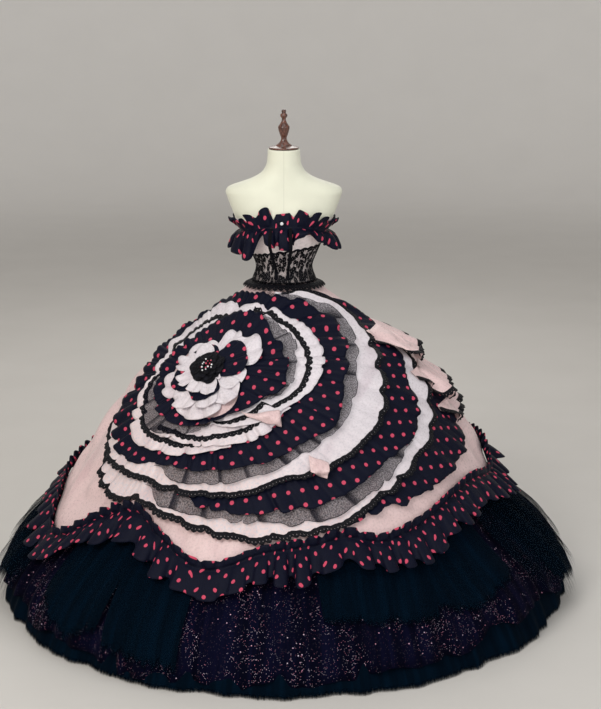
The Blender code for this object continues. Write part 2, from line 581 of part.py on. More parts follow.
def neck_ruffle_rows(azimuths):
    """Heights and stands of the neckline ruffle's top, gathering line, middle and hem."""
    wave = np.sin(NECK_RUFFLE_WAVES * azimuths)
    seat = FIT_GAP + BODICE_THICK + NECK_SEAT
    hem = smooth_round(NECK_HEM, np.degrees(azimuths))
    gather = np.full(azimuths.shape, NECK_GATHER_Z)
    middle = gather + NECK_MIDDLE_SHARE * (hem - gather)
    top = NECK_TOP_Z + NECK_TOP_WAVE * np.cos(NECK_TOP_WAVES * azimuths + 0.8)
    plumb = NECK_PLUMB * (NECK_PLUMB_Z - hem)
    return [
        (top, seat + NECK_HEADER_STAND + NECK_HEADER_WAVE * wave),
        (gather, np.full(azimuths.shape, seat)),
        (middle, seat + NECK_MIDDLE_STAND * NECK_DROP_STAND + NECK_MIDDLE_WAVE * NECK_DROP_WAVE * wave),
        (hem, seat + NECK_DROP_STAND + plumb + NECK_DROP_WAVE * wave),
    ]


def add_neck_ruffle(parts):
    """The gathered neckline ruffle: a header above the gathering line and a flounce below."""
    azimuths = ring_angles(NECK_RUFFLE_COLUMNS)
    rows = [torso_at(azimuths, heights, stands) for heights, stands in neck_ruffle_rows(azimuths)]
    add_cloth("neckline_ruffle", np.stack(rows), True, SATIN, "dotted", parts)


def add_ribbon(parts):
    """Two ribbon tails down the ruffle from its gathering line, with a knot and a gem above."""
    for name, column in (("ribbon_tail_left", TAIL_LEFT_COLUMN), ("ribbon_tail_right", TAIL_RIGHT_COLUMN)):
        azimuth = np.radians([column * 360.0 / NECK_RUFFLE_COLUMNS])
        path = [(heights, stands + SATIN + clear)
                for (heights, stands), clear in zip(neck_ruffle_rows(azimuth)[1:], TAIL_CLEAR)]
        path += [(np.array([row.z]), np.array([row.stand])) for row in TAIL_DROP]
        middles = np.concatenate([torso_at(azimuth, heights, stands) for heights, stands in path])
        side = np.array([TAIL_WIDTH / 2, 0.0, 0.0])
        grid = np.stack([middles - side, middles + side], axis=1)
        add_cloth(name, grid, False, TAIL_THICK, "velvet", parts)
    front = torso_at(np.zeros(1), np.array([KNOT_Z]), KNOT_STAND)[0, 1]
    gem_front = front - BALL_FLATNESS * (KNOT_RADIUS + GEM_RADIUS) - SEAM_GAP
    add_ball("ribbon_knot", KNOT_RADIUS, front, "velvet", parts)
    add_ball("neckline_gem", GEM_RADIUS, gem_front, "gem", parts)


def add_ball(name, radius, y, cloth, parts):
    """A flattened ball at the middle of the neckline."""
    mesh = bpy.data.meshes.new(name)
    shape = bmesh.new()
    bmesh.ops.create_uvsphere(shape, u_segments=8, v_segments=5, radius=radius)
    bmesh.ops.scale(shape, vec=(1.0, BALL_FLATNESS, BALL_HEIGHT), verts=shape.verts)
    shape.to_mesh(mesh)
    shape.free()
    mesh.materials.append(material(cloth))
    mesh.shade_smooth()
    made = bpy.data.objects.new(name, mesh)
    made.location = (KNOT_X, y, KNOT_Z)
    parts.objects.link(made)


def add_satin_skirt(parts):
    """The satin overskirt, from the waist seam to its swagged hem."""
    azimuths = ring_angles(SKIRT_COLUMNS)
    hem = smooth_round(SATIN_HEM, np.degrees(azimuths))
    top = dome_elevation(WAIST_SEAM_Z - SEAM_GAP)
    grid = []
    for share in SKIRT_ROW_SHARES:
        elevation = top + (dome_elevation(hem) - top) * share
        grid.append(on_dome(direction(azimuths, elevation), 0.0))
    add_cloth("satin_overskirt", np.stack(grid), True, SATIN, "satin", parts, outward=False)


def add_hem_ruffle(parts):
    """The dotted ruffle gathered along the overskirt's hem."""
    azimuths = ring_angles(RUFFLE_COLUMNS)
    wave = np.cos(RUFFLE_WAVES * (azimuths + RUFFLE_DRIFT * np.sin(4 * azimuths)))
    line = smooth_round(SATIN_HEM, np.degrees(azimuths)) + RUFFLE_LINE_UP
    header = skirt_points(azimuths, line + RUFFLE_HEADER, RUFFLE_HEADER_STAND + RUFFLE_HEADER_WAVE * wave)
    gather = skirt_points(azimuths, line, np.full(azimuths.shape, RUFFLE_SEAT))
    drop = skirt_points(azimuths, line - RUFFLE_DROP, RUFFLE_DROP_STAND + RUFFLE_DROP_WAVE * wave)
    add_cloth("hem_ruffle", np.stack([header, gather, drop]), True, SATIN, "dotted", parts)


def add_tulle_skirts(parts):
    """The petticoat to the floor, the glitter skirt over it and the plain panels outside."""
    layer = TULLE_BASE
    azimuths = ring_angles(layer.columns)
    grid = [tulle_points(layer, azimuths, np.full(azimuths.shape, z), BASE_TOP_INSET) for z in BASE_ROWS_Z]
    add_cloth(layer.name, np.stack(grid), True, TULLE, "dark_tulle", parts, outward=False)

    layer = TULLE_GLITTER
    azimuths = ring_angles(layer.columns)
    hem = smooth_round(GLITTER_HEM, np.degrees(azimuths))
    seat = TULLE_BASE.inset_high - TULLE - FIT_GAP
    heights = [np.full(azimuths.shape, z) for z in GLITTER_ROWS_Z] + [hem]
    grid = [tulle_points(layer, azimuths, row, seat) for row in heights]
    add_cloth(layer.name, np.stack(grid), True, TULLE, "glitter_tulle", parts, outward=False)

    layer = TULLE_PANEL
    seat = TULLE_GLITTER.inset_high - TULLE - PANEL_SEAT_GAP
    for panel in TULLE_PANELS:
        degrees = np.linspace(panel.start, panel.end, layer.columns + 1)
        share_round = (degrees - panel.start) / (panel.end - panel.start)
        hem = panel.hem_start + (panel.hem_end - panel.hem_start) * share_round
        azimuths = np.radians(degrees)
        low = PANEL_KNEE_Z + (hem - PANEL_KNEE_Z) * PANEL_LOW_SHARE
        heights = [np.full(azimuths.shape, layer.top_z), np.full(azimuths.shape, PANEL_KNEE_Z), low, hem]
        grid = [tulle_points(layer, azimuths, row, seat) for row in heights]
        add_cloth(panel.name, np.stack(grid), False, TULLE, "dark_tulle", parts, outward=False)


def reaches_ruffle(turns, reach):
    """Where a tier's edge would come down onto the hem ruffle's header."""
    points = on_dome(rose_direction(turns, reach), TIER_LIFT)
    azimuths = np.degrees(np.arctan2(points[..., 0], -points[..., 1]))
    return points[..., 2] < smooth_round(SATIN_HEM, azimuths) + RUFFLE_HEADER + RUFFLE_CLEAR


def tier_edges(tier, turns, covered, seated):
    """Inner and outer reach of a tier, tucked half its showing width under what covers it.

    An open tier narrows toward its ends. The tuck leaves the covering tier its own inner part,
    so that no more than two tiers lie on each other.
    """
    degrees = np.arange(361.0)
    above = np.interp(np.mod(turns, 360.0), degrees, covered)
    below = np.interp(np.mod(turns, 360.0), degrees, seated)
    if tier.end - tier.start >= 360:
        outer = smooth_round(tier.outline, turns)
        whole = np.ones(turns.shape)
    else:
        outer = smooth([row[0] for row in tier.outline], [row[1] for row in tier.outline], turns)
        whole = ramp(0.0, TIER_TAPER, turns - tier.start) * ramp(0.0, TIER_TAPER, tier.end - turns)
    for _ in range(TIER_CLEARING_STEPS):
        outer = np.where(reaches_ruffle(turns, outer), outer - TIER_CLEARING_STEP, outer)
    step = TIER_END_STEP + (TIER_STEP - TIER_END_STEP) * whole
    showing = np.maximum((outer - above) * whole, step)
    tuck = np.maximum(TIER_TUCK_SHARE * showing, TIER_MIN_TUCK)
    inner = np.maximum(above - tuck, below + TIER_KEEP * (above - below))
    return inner, above + showing


def cover(turns, inner, outer, closed, covered, seated):
    """The rose's reach, and its outermost tier's inner reach, at each whole degree."""
    degrees = np.arange(361.0)
    if closed:
        return (np.interp(degrees, turns % 360.0, outer, period=360.0),
                np.interp(degrees, turns % 360.0, inner, period=360.0))
    reached, started = covered.copy(), seated.copy()
    for shift in (-360.0, 0.0, 360.0):
        at = degrees + shift
        inside = (at >= turns[0]) & (at <= turns[-1])
        reached = np.where(inside, np.interp(at, turns, outer), reached)
        started = np.where(inside, np.interp(at, turns, inner), started)
    return reached, started


def tier_seat(vectors):
    """How far a tier's inner edge lies off the satin, a little more where the satin curves inward."""
    elevation = np.degrees(np.arcsin(vectors[..., 2]))
    high = ramp(TIER_SEAT_HIGH, TIER_SEAT_HIGH + TIER_SEAT_FADE, elevation)
    low = ramp(TIER_SEAT_LOW, TIER_SEAT_LOW - TIER_SEAT_FADE, elevation)
    return TIER_SEAT + TIER_SEAT_HOLLOW * (high + low)


def tier_grid(tier, turns, inner, outer, shares):
    """Points of a tier at shares of its width, rising and waving toward its outer edge."""
    wave = np.cos(2 * np.pi * tier.waves * (turns - tier.start) / (tier.end - tier.start))
    rows = []
    for share in shares:
        vectors = rose_direction(turns, inner + (outer - inner) * share)
        out = TIER_LIFT * share ** TIER_CURL + tier.wave * share ** 2 * wave
        rows.append(on_dome(vectors, tier_seat(vectors) + out))
    return np.stack(rows)


def grid_normals(grid, closed):
    """Outward normals at a grid's points, from the differences of its neighbours."""
    if closed:
        along = np.roll(grid, -1, axis=1) - np.roll(grid, 1, axis=1)
    else:
        along = np.gradient(grid, axis=1)
    down = np.gradient(grid, axis=0)
    normals = np.cross(down, along)
    return normals / np.linalg.norm(normals, axis=-1, keepdims=True)


def add_rose(parts):
    """The rose's tiers, each tucked under the one inside it, and the lace tapes on the satin ones."""
    covered = np.full(361, HEART_REACH)
    seated = np.zeros(361)
    for tier in TIERS:
        closed = tier.end - tier.start >= 360
        turns = np.arange(tier.start, tier.end + (0 if closed else 1), tier.step, dtype=float)
        inner, outer = tier_edges(tier, turns, covered, seated)
        shares = np.linspace(0.0, 1.0, tier.rows + 1)
        if tier.tape:
            shares = np.unique(np.concatenate([[0.0, 1.0], tier.tape]))
        grid = tier_grid(tier, turns, inner, outer, shares)
        add_cloth(tier.name, grid, closed, SATIN, tier.cloth, parts)
        if tier.tape:
            normals = grid_normals(grid, closed)
            lifted = grid + (SATIN + FIT_GAP) * normals
            first = int(np.argmin(np.abs(shares - tier.tape[0])))
            add_cloth(tier.name + "_lace", lifted[first:first + 2, 1:-1], closed, LACE, "lace", parts)
        covered, seated = cover(turns, inner, outer, closed, covered, seated)


def add_heart(parts):
    """The flower at the rose's heart, a lobed cap of net on the skirt."""
    turns = np.linspace(0.0, 360.0, 4 * HEART_PETALS, endpoint=False)
    lobes = 1.0 + HEART_LOBE * np.cos(np.radians(HEART_PETALS * turns))
    rows = [on_dome(rose_direction(turns, HEART_REACH * lobes * share), HEART_SEAT + HEART_LIFT * share)
            for share in HEART_SHARES]
    add_cloth("rose_heart", np.stack(rows), True, LACE, "lace", parts)


def main():
    """Build the gown and its form."""
    for leftover in list(bpy.data.objects):
        bpy.data.objects.remove(leftover)
    parts = bpy.data.collections.new("prom_dress_on_form")
    bpy.context.scene.collection.children.link(parts)
    add_form(parts)
    add_stand(parts)
    add_bodice(parts)
    add_cincher(parts)
    add_neck_ruffle(parts)
    add_ribbon(parts)
    add_tulle_skirts(parts)
    add_satin_skirt(parts)
    add_hem_ruffle(parts)
    add_heart(parts)
    add_rose(parts)


main()
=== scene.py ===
"""Looks of a strapless ball gown on a limbless dress form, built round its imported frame.

Metres, +Z up, front toward -Y. Round the skirt, azimuths run from the front toward +X. On the
rose, "turn" runs round its axis from the right, anticlockwise as seen from in front, and "reach"
runs away from the axis, both in degrees. A cloth is a grid of points, rows from its top or inner
edge to its hem, columns round it, with a UV map "cloth" in metres of flat cloth and a UV map
"span" that runs 0 to 1 round it and 0 to 1 from the inner edge to the hem.
"""
import json
import math
from collections import namedtuple

import bpy
import numpy as np
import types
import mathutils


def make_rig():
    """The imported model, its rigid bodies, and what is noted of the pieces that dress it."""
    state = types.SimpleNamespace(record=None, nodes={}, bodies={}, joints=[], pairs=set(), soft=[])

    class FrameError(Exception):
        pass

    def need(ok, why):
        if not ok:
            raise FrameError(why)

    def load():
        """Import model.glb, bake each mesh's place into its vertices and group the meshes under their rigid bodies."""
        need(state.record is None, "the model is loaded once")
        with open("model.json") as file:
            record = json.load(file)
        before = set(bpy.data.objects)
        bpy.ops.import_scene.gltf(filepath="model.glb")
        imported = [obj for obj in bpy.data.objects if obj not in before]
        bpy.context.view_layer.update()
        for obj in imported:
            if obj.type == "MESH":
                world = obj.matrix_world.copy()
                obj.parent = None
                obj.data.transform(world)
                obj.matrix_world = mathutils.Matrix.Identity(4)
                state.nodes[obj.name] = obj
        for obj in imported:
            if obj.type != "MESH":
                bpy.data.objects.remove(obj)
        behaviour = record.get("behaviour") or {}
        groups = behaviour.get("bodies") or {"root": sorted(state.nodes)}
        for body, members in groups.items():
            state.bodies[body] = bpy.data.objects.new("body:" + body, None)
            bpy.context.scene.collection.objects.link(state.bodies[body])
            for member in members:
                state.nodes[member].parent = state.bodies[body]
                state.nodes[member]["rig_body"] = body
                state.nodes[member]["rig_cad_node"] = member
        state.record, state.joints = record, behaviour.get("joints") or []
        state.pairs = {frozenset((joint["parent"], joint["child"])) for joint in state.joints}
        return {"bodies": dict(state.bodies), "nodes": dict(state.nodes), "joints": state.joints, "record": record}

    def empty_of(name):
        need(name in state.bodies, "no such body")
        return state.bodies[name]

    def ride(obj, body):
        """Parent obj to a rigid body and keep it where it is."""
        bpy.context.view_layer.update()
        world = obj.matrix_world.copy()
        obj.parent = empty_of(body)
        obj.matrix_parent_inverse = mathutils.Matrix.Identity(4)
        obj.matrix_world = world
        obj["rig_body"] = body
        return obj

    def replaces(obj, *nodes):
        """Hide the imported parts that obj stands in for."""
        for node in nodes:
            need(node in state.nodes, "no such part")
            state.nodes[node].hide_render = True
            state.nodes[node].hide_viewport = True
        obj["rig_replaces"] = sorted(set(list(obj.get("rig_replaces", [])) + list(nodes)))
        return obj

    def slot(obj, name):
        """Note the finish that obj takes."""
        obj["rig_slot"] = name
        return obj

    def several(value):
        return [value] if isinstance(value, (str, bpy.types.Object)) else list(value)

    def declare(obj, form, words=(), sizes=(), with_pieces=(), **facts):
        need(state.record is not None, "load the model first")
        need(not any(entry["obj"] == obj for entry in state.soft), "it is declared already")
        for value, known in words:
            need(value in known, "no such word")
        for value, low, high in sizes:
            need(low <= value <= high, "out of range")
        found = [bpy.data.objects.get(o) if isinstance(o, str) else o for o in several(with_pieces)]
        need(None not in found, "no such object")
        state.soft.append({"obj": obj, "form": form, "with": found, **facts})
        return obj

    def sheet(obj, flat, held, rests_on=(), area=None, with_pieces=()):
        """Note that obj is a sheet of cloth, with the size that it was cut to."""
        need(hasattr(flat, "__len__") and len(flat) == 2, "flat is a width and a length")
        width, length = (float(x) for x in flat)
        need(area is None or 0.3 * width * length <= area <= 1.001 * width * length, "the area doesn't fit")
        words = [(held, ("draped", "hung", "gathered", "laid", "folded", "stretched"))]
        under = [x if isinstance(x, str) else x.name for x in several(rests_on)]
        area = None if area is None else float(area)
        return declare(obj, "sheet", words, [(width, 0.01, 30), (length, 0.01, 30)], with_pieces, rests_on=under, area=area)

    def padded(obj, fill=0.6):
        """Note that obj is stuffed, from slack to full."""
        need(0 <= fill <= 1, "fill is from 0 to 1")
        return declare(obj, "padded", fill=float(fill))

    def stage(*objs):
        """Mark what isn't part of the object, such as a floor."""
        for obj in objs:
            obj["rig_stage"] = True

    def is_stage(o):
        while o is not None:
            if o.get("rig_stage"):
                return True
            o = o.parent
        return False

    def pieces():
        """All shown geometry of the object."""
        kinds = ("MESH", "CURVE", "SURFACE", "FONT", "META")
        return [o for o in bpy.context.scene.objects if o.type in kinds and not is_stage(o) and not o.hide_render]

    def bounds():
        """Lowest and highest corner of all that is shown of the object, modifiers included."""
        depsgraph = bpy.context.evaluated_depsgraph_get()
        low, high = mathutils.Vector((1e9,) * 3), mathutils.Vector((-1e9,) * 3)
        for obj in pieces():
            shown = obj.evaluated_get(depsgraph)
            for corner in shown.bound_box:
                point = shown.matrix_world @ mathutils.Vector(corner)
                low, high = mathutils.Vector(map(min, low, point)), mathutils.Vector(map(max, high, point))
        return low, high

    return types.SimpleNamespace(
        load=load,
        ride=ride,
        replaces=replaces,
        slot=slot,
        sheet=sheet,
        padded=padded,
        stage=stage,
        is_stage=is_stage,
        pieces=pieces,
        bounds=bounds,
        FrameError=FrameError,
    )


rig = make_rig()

bl_info = {
    "name": "Tiered ball gown",
    "version": (1, 0, 0),
    "blender": (4, 5, 0),
    "location": "View3D > Sidebar > Gown",
    "description": "Builds a ball gown with a rose of tiers, on its dress form, round a packed frame",
    "category": "Object",
}

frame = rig.load()
CAD_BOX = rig.bounds()
SIZE_FILE = "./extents.json"

# Skirt: satin surface from the waist seam down to the floor, as (height, radius)
SKIRT_PROFILE = [
    (1.050, 0.0750), (1.030, 0.0980), (1.010, 0.1215), (0.980, 0.1600), (0.930, 0.2280), (0.880, 0.2950),
    (0.830, 0.3620), (0.760, 0.4360), (0.680, 0.5010), (0.580, 0.5720), (0.480, 0.6370), (0.380, 0.7080),
    (0.280, 0.7860), (0.180, 0.8680), (0.080, 0.9230), (0.000, 0.9380), (-0.050, 0.9400),
]

# The dome that stands for the skirt: its centre and mean radius, and where it narrows to the waist
DOME_CENTRE_Z = 0.30
DOME_RADIUS = 0.70
WAIST_SEAM_Z = 1.0330
WAIST_DEPTH = 0.82
SQUASH_BOTTOM_Z = 0.88

# Satin overskirt: its hem as (azimuth, height), and its wide soft folds
SATIN_HEM = [
    (-82, 0.360), (-63, 0.296), (-52, 0.385), (-40, 0.430), (-31, 0.386), (-17, 0.326), (-5, 0.372),
    (8, 0.392), (16, 0.406), (23, 0.385), (34, 0.402), (50, 0.446), (62, 0.460), (78, 0.440), (96, 0.470),
    (125, 0.430), (155, 0.465), (185, 0.420), (215, 0.460), (245, 0.400),
]
SATIN_FOLDS = 11
SATIN_FOLD_DEPTH = 0.008

# Satin's main creases: soft troughs from a start to an end, azimuth and elevation in degrees on the
# dome, half width in degrees, depth in metres
SATIN_CREASES = [
    ((-62, 21), (-71, 7), 2.4, 0.010), ((-69, 5.5), (-49, 9.5), 2.2, 0.012),
    ((-29, 9.5), (-21, 4), 1.9, 0.009), ((-20, 7), (-9, 4.6), 1.6, 0.007),
    ((33, 13.5), (26, 8), 1.8, 0.009), ((29, 12), (34, 7.5), 1.6, 0.007),
    ((48, 15), (40, 10.5), 2.0, 0.009), ((78, 30), (70, 17), 2.2, 0.008),
    ((95, 27), (104, 12), 2.6, 0.010), ((110, 12), (125, 15), 2.2, 0.011),
    ((133, 25), (126, 11), 2.4, 0.009), ((150, 29), (159, 12), 2.6, 0.010),
    ((167, 13), (-178, 16), 2.2, 0.010), ((-170, 26), (-163, 11), 2.4, 0.009),
    ((-140, 26), (-149, 10), 2.6, 0.011), ((-133, 14), (-119, 11), 2.2, 0.010),
    ((-110, 25), (-103, 10), 2.3, 0.009), ((-92, 23), (-86, 9), 2.2, 0.009),
]

# Hem ruffle: how its gathering line lies off the satin's hem, its frill above it and its fall below it
RUFFLE_LINE_UP = -0.016
RUFFLE_FRILL = 0.026
RUFFLE_FALL = 0.062
RUFFLE_WAVES = (2, 3, 5, 8, 13)

# Tulle: each layer's top, how far it lies inside the satin surface high up, at the hem and at its top seat
TulleLayer = namedtuple("TulleLayer", "top_z inset_high inset_low seat")
PETTICOAT = TulleLayer(1.030, 0.050, 0.018, 0.0026)
GLITTER = TulleLayer(0.560, 0.034, 0.000, 0.0486)
PANEL = TulleLayer(0.445, 0.016, -0.020, 0.0315)
TULLE_FOLDS = 14
TULLE_FOLD_DEPTH = 0.016
GLITTER_HEM = [
    (-120, 0.060), (-88, 0.095), (-60, 0.070), (-33, 0.030), (-12, 0.022), (8, 0.045), (30, 0.060),
    (48, 0.095), (66, 0.090), (90, 0.060), (140, 0.050), (190, 0.070),
]

# Heights at which the tulle's wide folds and its flare start, going down, and at which they are full
TULLE_CLEAR_Z = 0.37
TULLE_FULL_Z = 0.10

# Flaps: azimuths of a flap's top and low corners, its hem as (share of its width, height), its stand
Flap = namedtuple("Flap", "top_start top_end low_start low_end hem out")
TULLE_PANELS = {
    "tulle_panel_front_left": [
        Flap(-57, -36, -55, -37, [(0.0, 0.160), (0.30, 0.110), (0.62, 0.060), (1.0, 0.112)], 0.000),
        Flap(-39, -19, -34, -18.6, [(0.0, 0.078), (0.5, 0.062), (1.0, 0.052)], 0.005)],
    "tulle_panel_front_right": [
        Flap(7, 39, 8, 31, [(0.0, 0.192), (0.35, 0.180), (0.62, 0.176), (1.0, 0.156)], 0.004),
        Flap(30, 52, 31, 56, [(0.0, 0.190), (0.4, 0.150), (1.0, 0.205)], 0.000)],
    "tulle_panel_side_right": [
        Flap(66, 98, 70, 94, [(0.0, 0.110), (0.45, 0.060), (1.0, 0.120)], 0.003),
        Flap(94, 124, 96, 122, [(0.0, 0.130), (0.5, 0.090), (1.0, 0.150)], 0.000)],
    "tulle_panel_back": [
        Flap(146, 176, 149, 172, [(0.0, 0.140), (0.6, 0.080), (1.0, 0.110)], 0.003),
        Flap(170, 202, 174, 198, [(0.0, 0.120), (0.5, 0.070), (1.0, 0.130)], 0.000)],
    "tulle_panel_side_left": [
        Flap(222, 252, 226, 247, [(0.0, 0.130), (0.5, 0.075), (1.0, 0.120)], 0.003),
        Flap(248, 284, 252, 290, [(0.0, 0.110), (0.35, 0.085), (0.7, 0.050), (1.0, 0.120)], 0.000)],
}
TULLE_VEILS = {
    "tulle_veil_left": [
        Flap(-112, -64, -116, -66,
             [(0.0, 0.120), (0.25, 0.060), (0.5, 0.105), (0.8, 0.030), (1.0, 0.075)], 0.016)],
    "tulle_veil_right": [
        Flap(56, 112, 60, 116,
             [(0.0, 0.110), (0.25, 0.045), (0.5, 0.095), (0.75, 0.040), (1.0, 0.110)], 0.016)],
    "tulle_veil_back": [
        Flap(128, 226, 130, 224,
             [(0.0, 0.090), (0.3, 0.040), (0.6, 0.100), (0.8, 0.050), (1.0, 0.110)], 0.014)],
}

# Rose: its axis, its heart's reach, how a tier stands at its start, at a hem that meets the ruffle and
# by what power in between, the tape's half width, the gap and the soft contact between two cloths,
# and each cloth's share of the flutes' depth
ROSE_AZIMUTH = -37.0
ROSE_ELEVATION = 53.0
HEART_REACH = 6.0
TIER_SEAT = 0.0004
TIER_LIFT = 0.0135
TIER_CURL = 1.3
TAPE_HALF = 0.0095
LAYER_GAP = 0.0012
SOFT_CONTACT = 0.0014
FLUTE_SHARE = {"dotted": 0.78, "satin": 0.62, "tulle": 0.40}

# Tiers from the heart outward: cloth, turns, folds, lace tape (shares of the width), hem (turn, reach)
Tier = namedtuple("Tier", "name cloth start end folds tape outline")
TIERS = [
    Tier("rose_dotted_inner", "dotted", 24, 384, 9, None,
         [(20, 9.4), (60, 8.6), (120, 8.2), (177, 10.2), (240, 8.4), (300, 9.6), (340, 10.6)]),
    Tier("rose_satin_frill", "satin", 96, 372, 13, None,
         [(95, 9.6), (135, 11.6), (177, 12.6), (230, 10.4), (280, 10.6), (320, 11.8), (365, 11.8)]),
    Tier("rose_satin_petals", "satin", 24, 384, 15, None,
         [(20, 14.6), (39, 15.9), (62, 15.6), (80, 13.8), (100, 11.0), (140, 12.8), (177, 13.9),
          (206, 14.3), (232, 14.2), (262, 14.2), (285, 16.2), (306, 17.2), (334, 16.3), (355, 13.6)]),
    Tier("rose_dotted_1", "dotted", 24, 384, 15, None,
         [(20, 22.8), (46, 20.2), (67, 19.7), (85, 18.8), (107, 17.5), (150, 16.2), (182, 17.1),
          (211, 17.6), (240, 18.3), (282, 18.5), (329, 18.9), (351, 21.1), (365, 23.6)]),
    Tier("rose_tulle_1_right", "tulle", -12, 84, 4, None,
         [(-4, 23.6), (8, 25.2), (28, 24.9), (46, 24.0), (62, 21.8), (78, 20.0)]),
    Tier("rose_tulle_1_left", "tulle", 192, 300, 5, None,
         [(196, 18.6), (212, 21.5), (236, 23.6), (262, 22.0), (292, 19.6)]),
    Tier("rose_satin_1_right", "satin", -60, 102, 9, (0.52, 0.74),
         [(-58, 19.8), (-40, 22.4), (-20, 26.0), (0, 28.9), (14, 31.4), (29, 32.1), (40, 31.1),
          (53, 28.4), (69, 24.4), (84, 21.4), (98, 19.2)]),
    Tier("rose_satin_1_low", "satin", 246, 354, 7, (0.52, 0.78),
         [(246, 19.2), (257, 21.0), (274, 23.1), (291, 24.4), (312, 26.6), (330, 28.4), (344, 28.9),
          (352, 28.6)]),
    Tier("rose_satin_1_left", "satin", 90, 312, 12, (0.52, 0.76),
         [(90, 20.4), (113, 23.4), (132, 26.0), (152, 24.0), (172, 20.6), (194, 19.8), (207, 23.0),
          (222, 26.4), (242, 28.9), (258, 27.4), (276, 26.8), (296, 26.4), (312, 27.6)]),
    Tier("rose_dotted_2", "dotted", 0, 360, 27, None,
         [(1, 41.2), (15, 38.9), (34, 38.9), (50, 38.8), (55, 37.9), (63, 33.6), (68.5, 30.4),
          (75, 27.4), (84, 25.8), (92, 25.6), (100, 26.3), (108, 27.6), (115, 28.9), (125, 28.6),
          (160, 27.0), (189, 28.4), (206, 34.2), (226, 34.7), (243, 34.2), (256, 31.6), (273, 30.0),
          (289, 31.2), (312, 33.3), (329, 36.0), (344, 37.4)]),
    Tier("rose_tulle_2", "tulle", -96, 84, 11, None,
         [(-94, 31.2), (-84, 33.6), (-66, 35.0), (-46, 37.2), (-30, 38.6), (-14, 40.4), (2, 42.4),
          (20, 42.2), (38, 42.0), (49, 42.6), (57.5, 41.8), (64.7, 35.9), (70.5, 31.2), (76, 28.6),
          (82, 26.0)]),
    Tier("rose_satin_2", "satin", -156, 80, 18, (0.80, 1.0),
         [(-156, 35.6), (-148, 38.8), (-132, 39.0), (-108, 36.4), (-95, 35.9), (-84, 36.4), (-66, 38.2),
          (-48, 41.0), (-34, 42.2), (-24, 45.0), (-14, 48.0), (3, 50.9), (14, 52.2), (27, 50.0),
          (46, 48.2), (57.7, 47.6), (61.5, 46.6), (65.5, 43.0), (69.5, 37.6), (74.8, 31.4), (79, 29.0)]),
    Tier("rose_dotted_3", "dotted", -78, 74, 15, None,
         [(-76, 38.6), (-66, 40.8), (-54, 44.4), (-43, 47.0), (-30, 51.6), (-16, 55.2), (-2, 57.6),
          (13, 62.4), (24, 62.6), (36, 58.0), (52, 56.0), (60, 52.6), (66, 49.8), (70, 47.0), (73, 41.0)]),
    Tier("rose_tulle_3", "tulle", -96, 12, 9, None,
         [(-96, 38.6), (-84, 40.4), (-66, 43.4), (-52, 46.8), (-40, 51.6), (-28, 56.0), (-12, 59.6),
          (4, 61.8), (12, 62.8)]),
    Tier("rose_satin_3", "satin", -138, 68, 19, (0.80, 1.0),
         [(-134, 41.0), (-122, 43.6), (-107, 43.0), (-94, 41.0), (-84, 42.4), (-66, 46.8), (-50, 52.4),
          (-34, 58.2), (-18, 61.2), (-4, 64.0), (8, 66.4), (20, 69.0), (34, 67.0), (46, 61.6),
          (58, 57.0), (66, 51.6)]),
    Tier("rose_dotted_4", "dotted", -24, 48, 8, None,
         [(-22, 60.8), (-12, 65.0), (-2, 71.0), (8, 75.6), (18, 80.4), (27, 82.8), (36, 78.0),
          (50, 64.0)]),
]

# Petals round the rose's heart, from the lowest up: turns, reaches and lift of each, and rim ruffles
HEART_TIERS = ("rose_dotted_inner", "rose_satin_frill", "rose_satin_petals")
Petal = namedtuple("Petal", "start end inner outer lift ruffles")
PETAL_RINGS = [
    ("rose_satin_petals", "satin", "gown_satin", [
        Petal(92, 200, 3.0, 10.6, 0.010, 3), Petal(242, 330, 4.0, 16.6, 0.012, 4),
        Petal(62, 100, 4.0, 13.4, 0.012, 2), Petal(12, 78, 4.0, 15.9, 0.016, 3),
        Petal(188, 254, 4.0, 14.6, 0.014, 3), Petal(300, 356, 4.0, 14.8, 0.014, 3),
        Petal(232, 284, 5.0, 14.4, 0.016, 3), Petal(272, 322, 5.0, 13.6, 0.017, 3),
        Petal(326, 382, 5.0, 12.5, 0.010, 2)]),
    ("rose_dotted_inner", "dotted", "gown_dotted", [
        Petal(180, 262, 2.0, 11.4, 0.012, 3), Petal(246, 334, 2.0, 11.0, 0.012, 3),
        Petal(338, 452, 2.0, 11.6, 0.013, 3), Petal(86, 190, 2.0, 8.4, 0.006, 2)]),
    ("rose_satin_frill", "satin", "gown_satin", [
        Petal(96, 166, 2.6, 8.6, 0.012, 2), Petal(150, 204, 2.6, 11.0, 0.015, 3),
        Petal(194, 252, 2.6, 9.4, 0.016, 3), Petal(240, 296, 2.6, 8.9, 0.017, 3),
        Petal(280, 328, 2.6, 9.9, 0.017, 3), Petal(320, 350, 2.6, 6.2, 0.008, 2)]),
]

# Turned-back satin: four corners of each patch as (turn, reach)
SATIN_TURNBACKS = [
    [(329.0, 19.8), (348.5, 26.6), (330.5, 21.8), (342.0, 30.2)],
    [(341.2, 40.8), (344.6, 45.8), (337.0, 44.4), (340.0, 48.6)],
]

# Flounces down the right flank: heights of their seam and hem, azimuths of their ends, stand at the hem
FlankTier = namedtuple("FlankTier", "name seam hem start end lift")
EDGE_WIDTH = 0.017
FLANK_TIERS = [
    FlankTier("flank_satin_low", 0.655, 0.590, 68, 122, 0.020),
    FlankTier("flank_satin_middle", 0.760, 0.655, 64, 128, 0.034),
    FlankTier("flank_satin_high", 0.880, 0.768, 60, 134, 0.034),
]

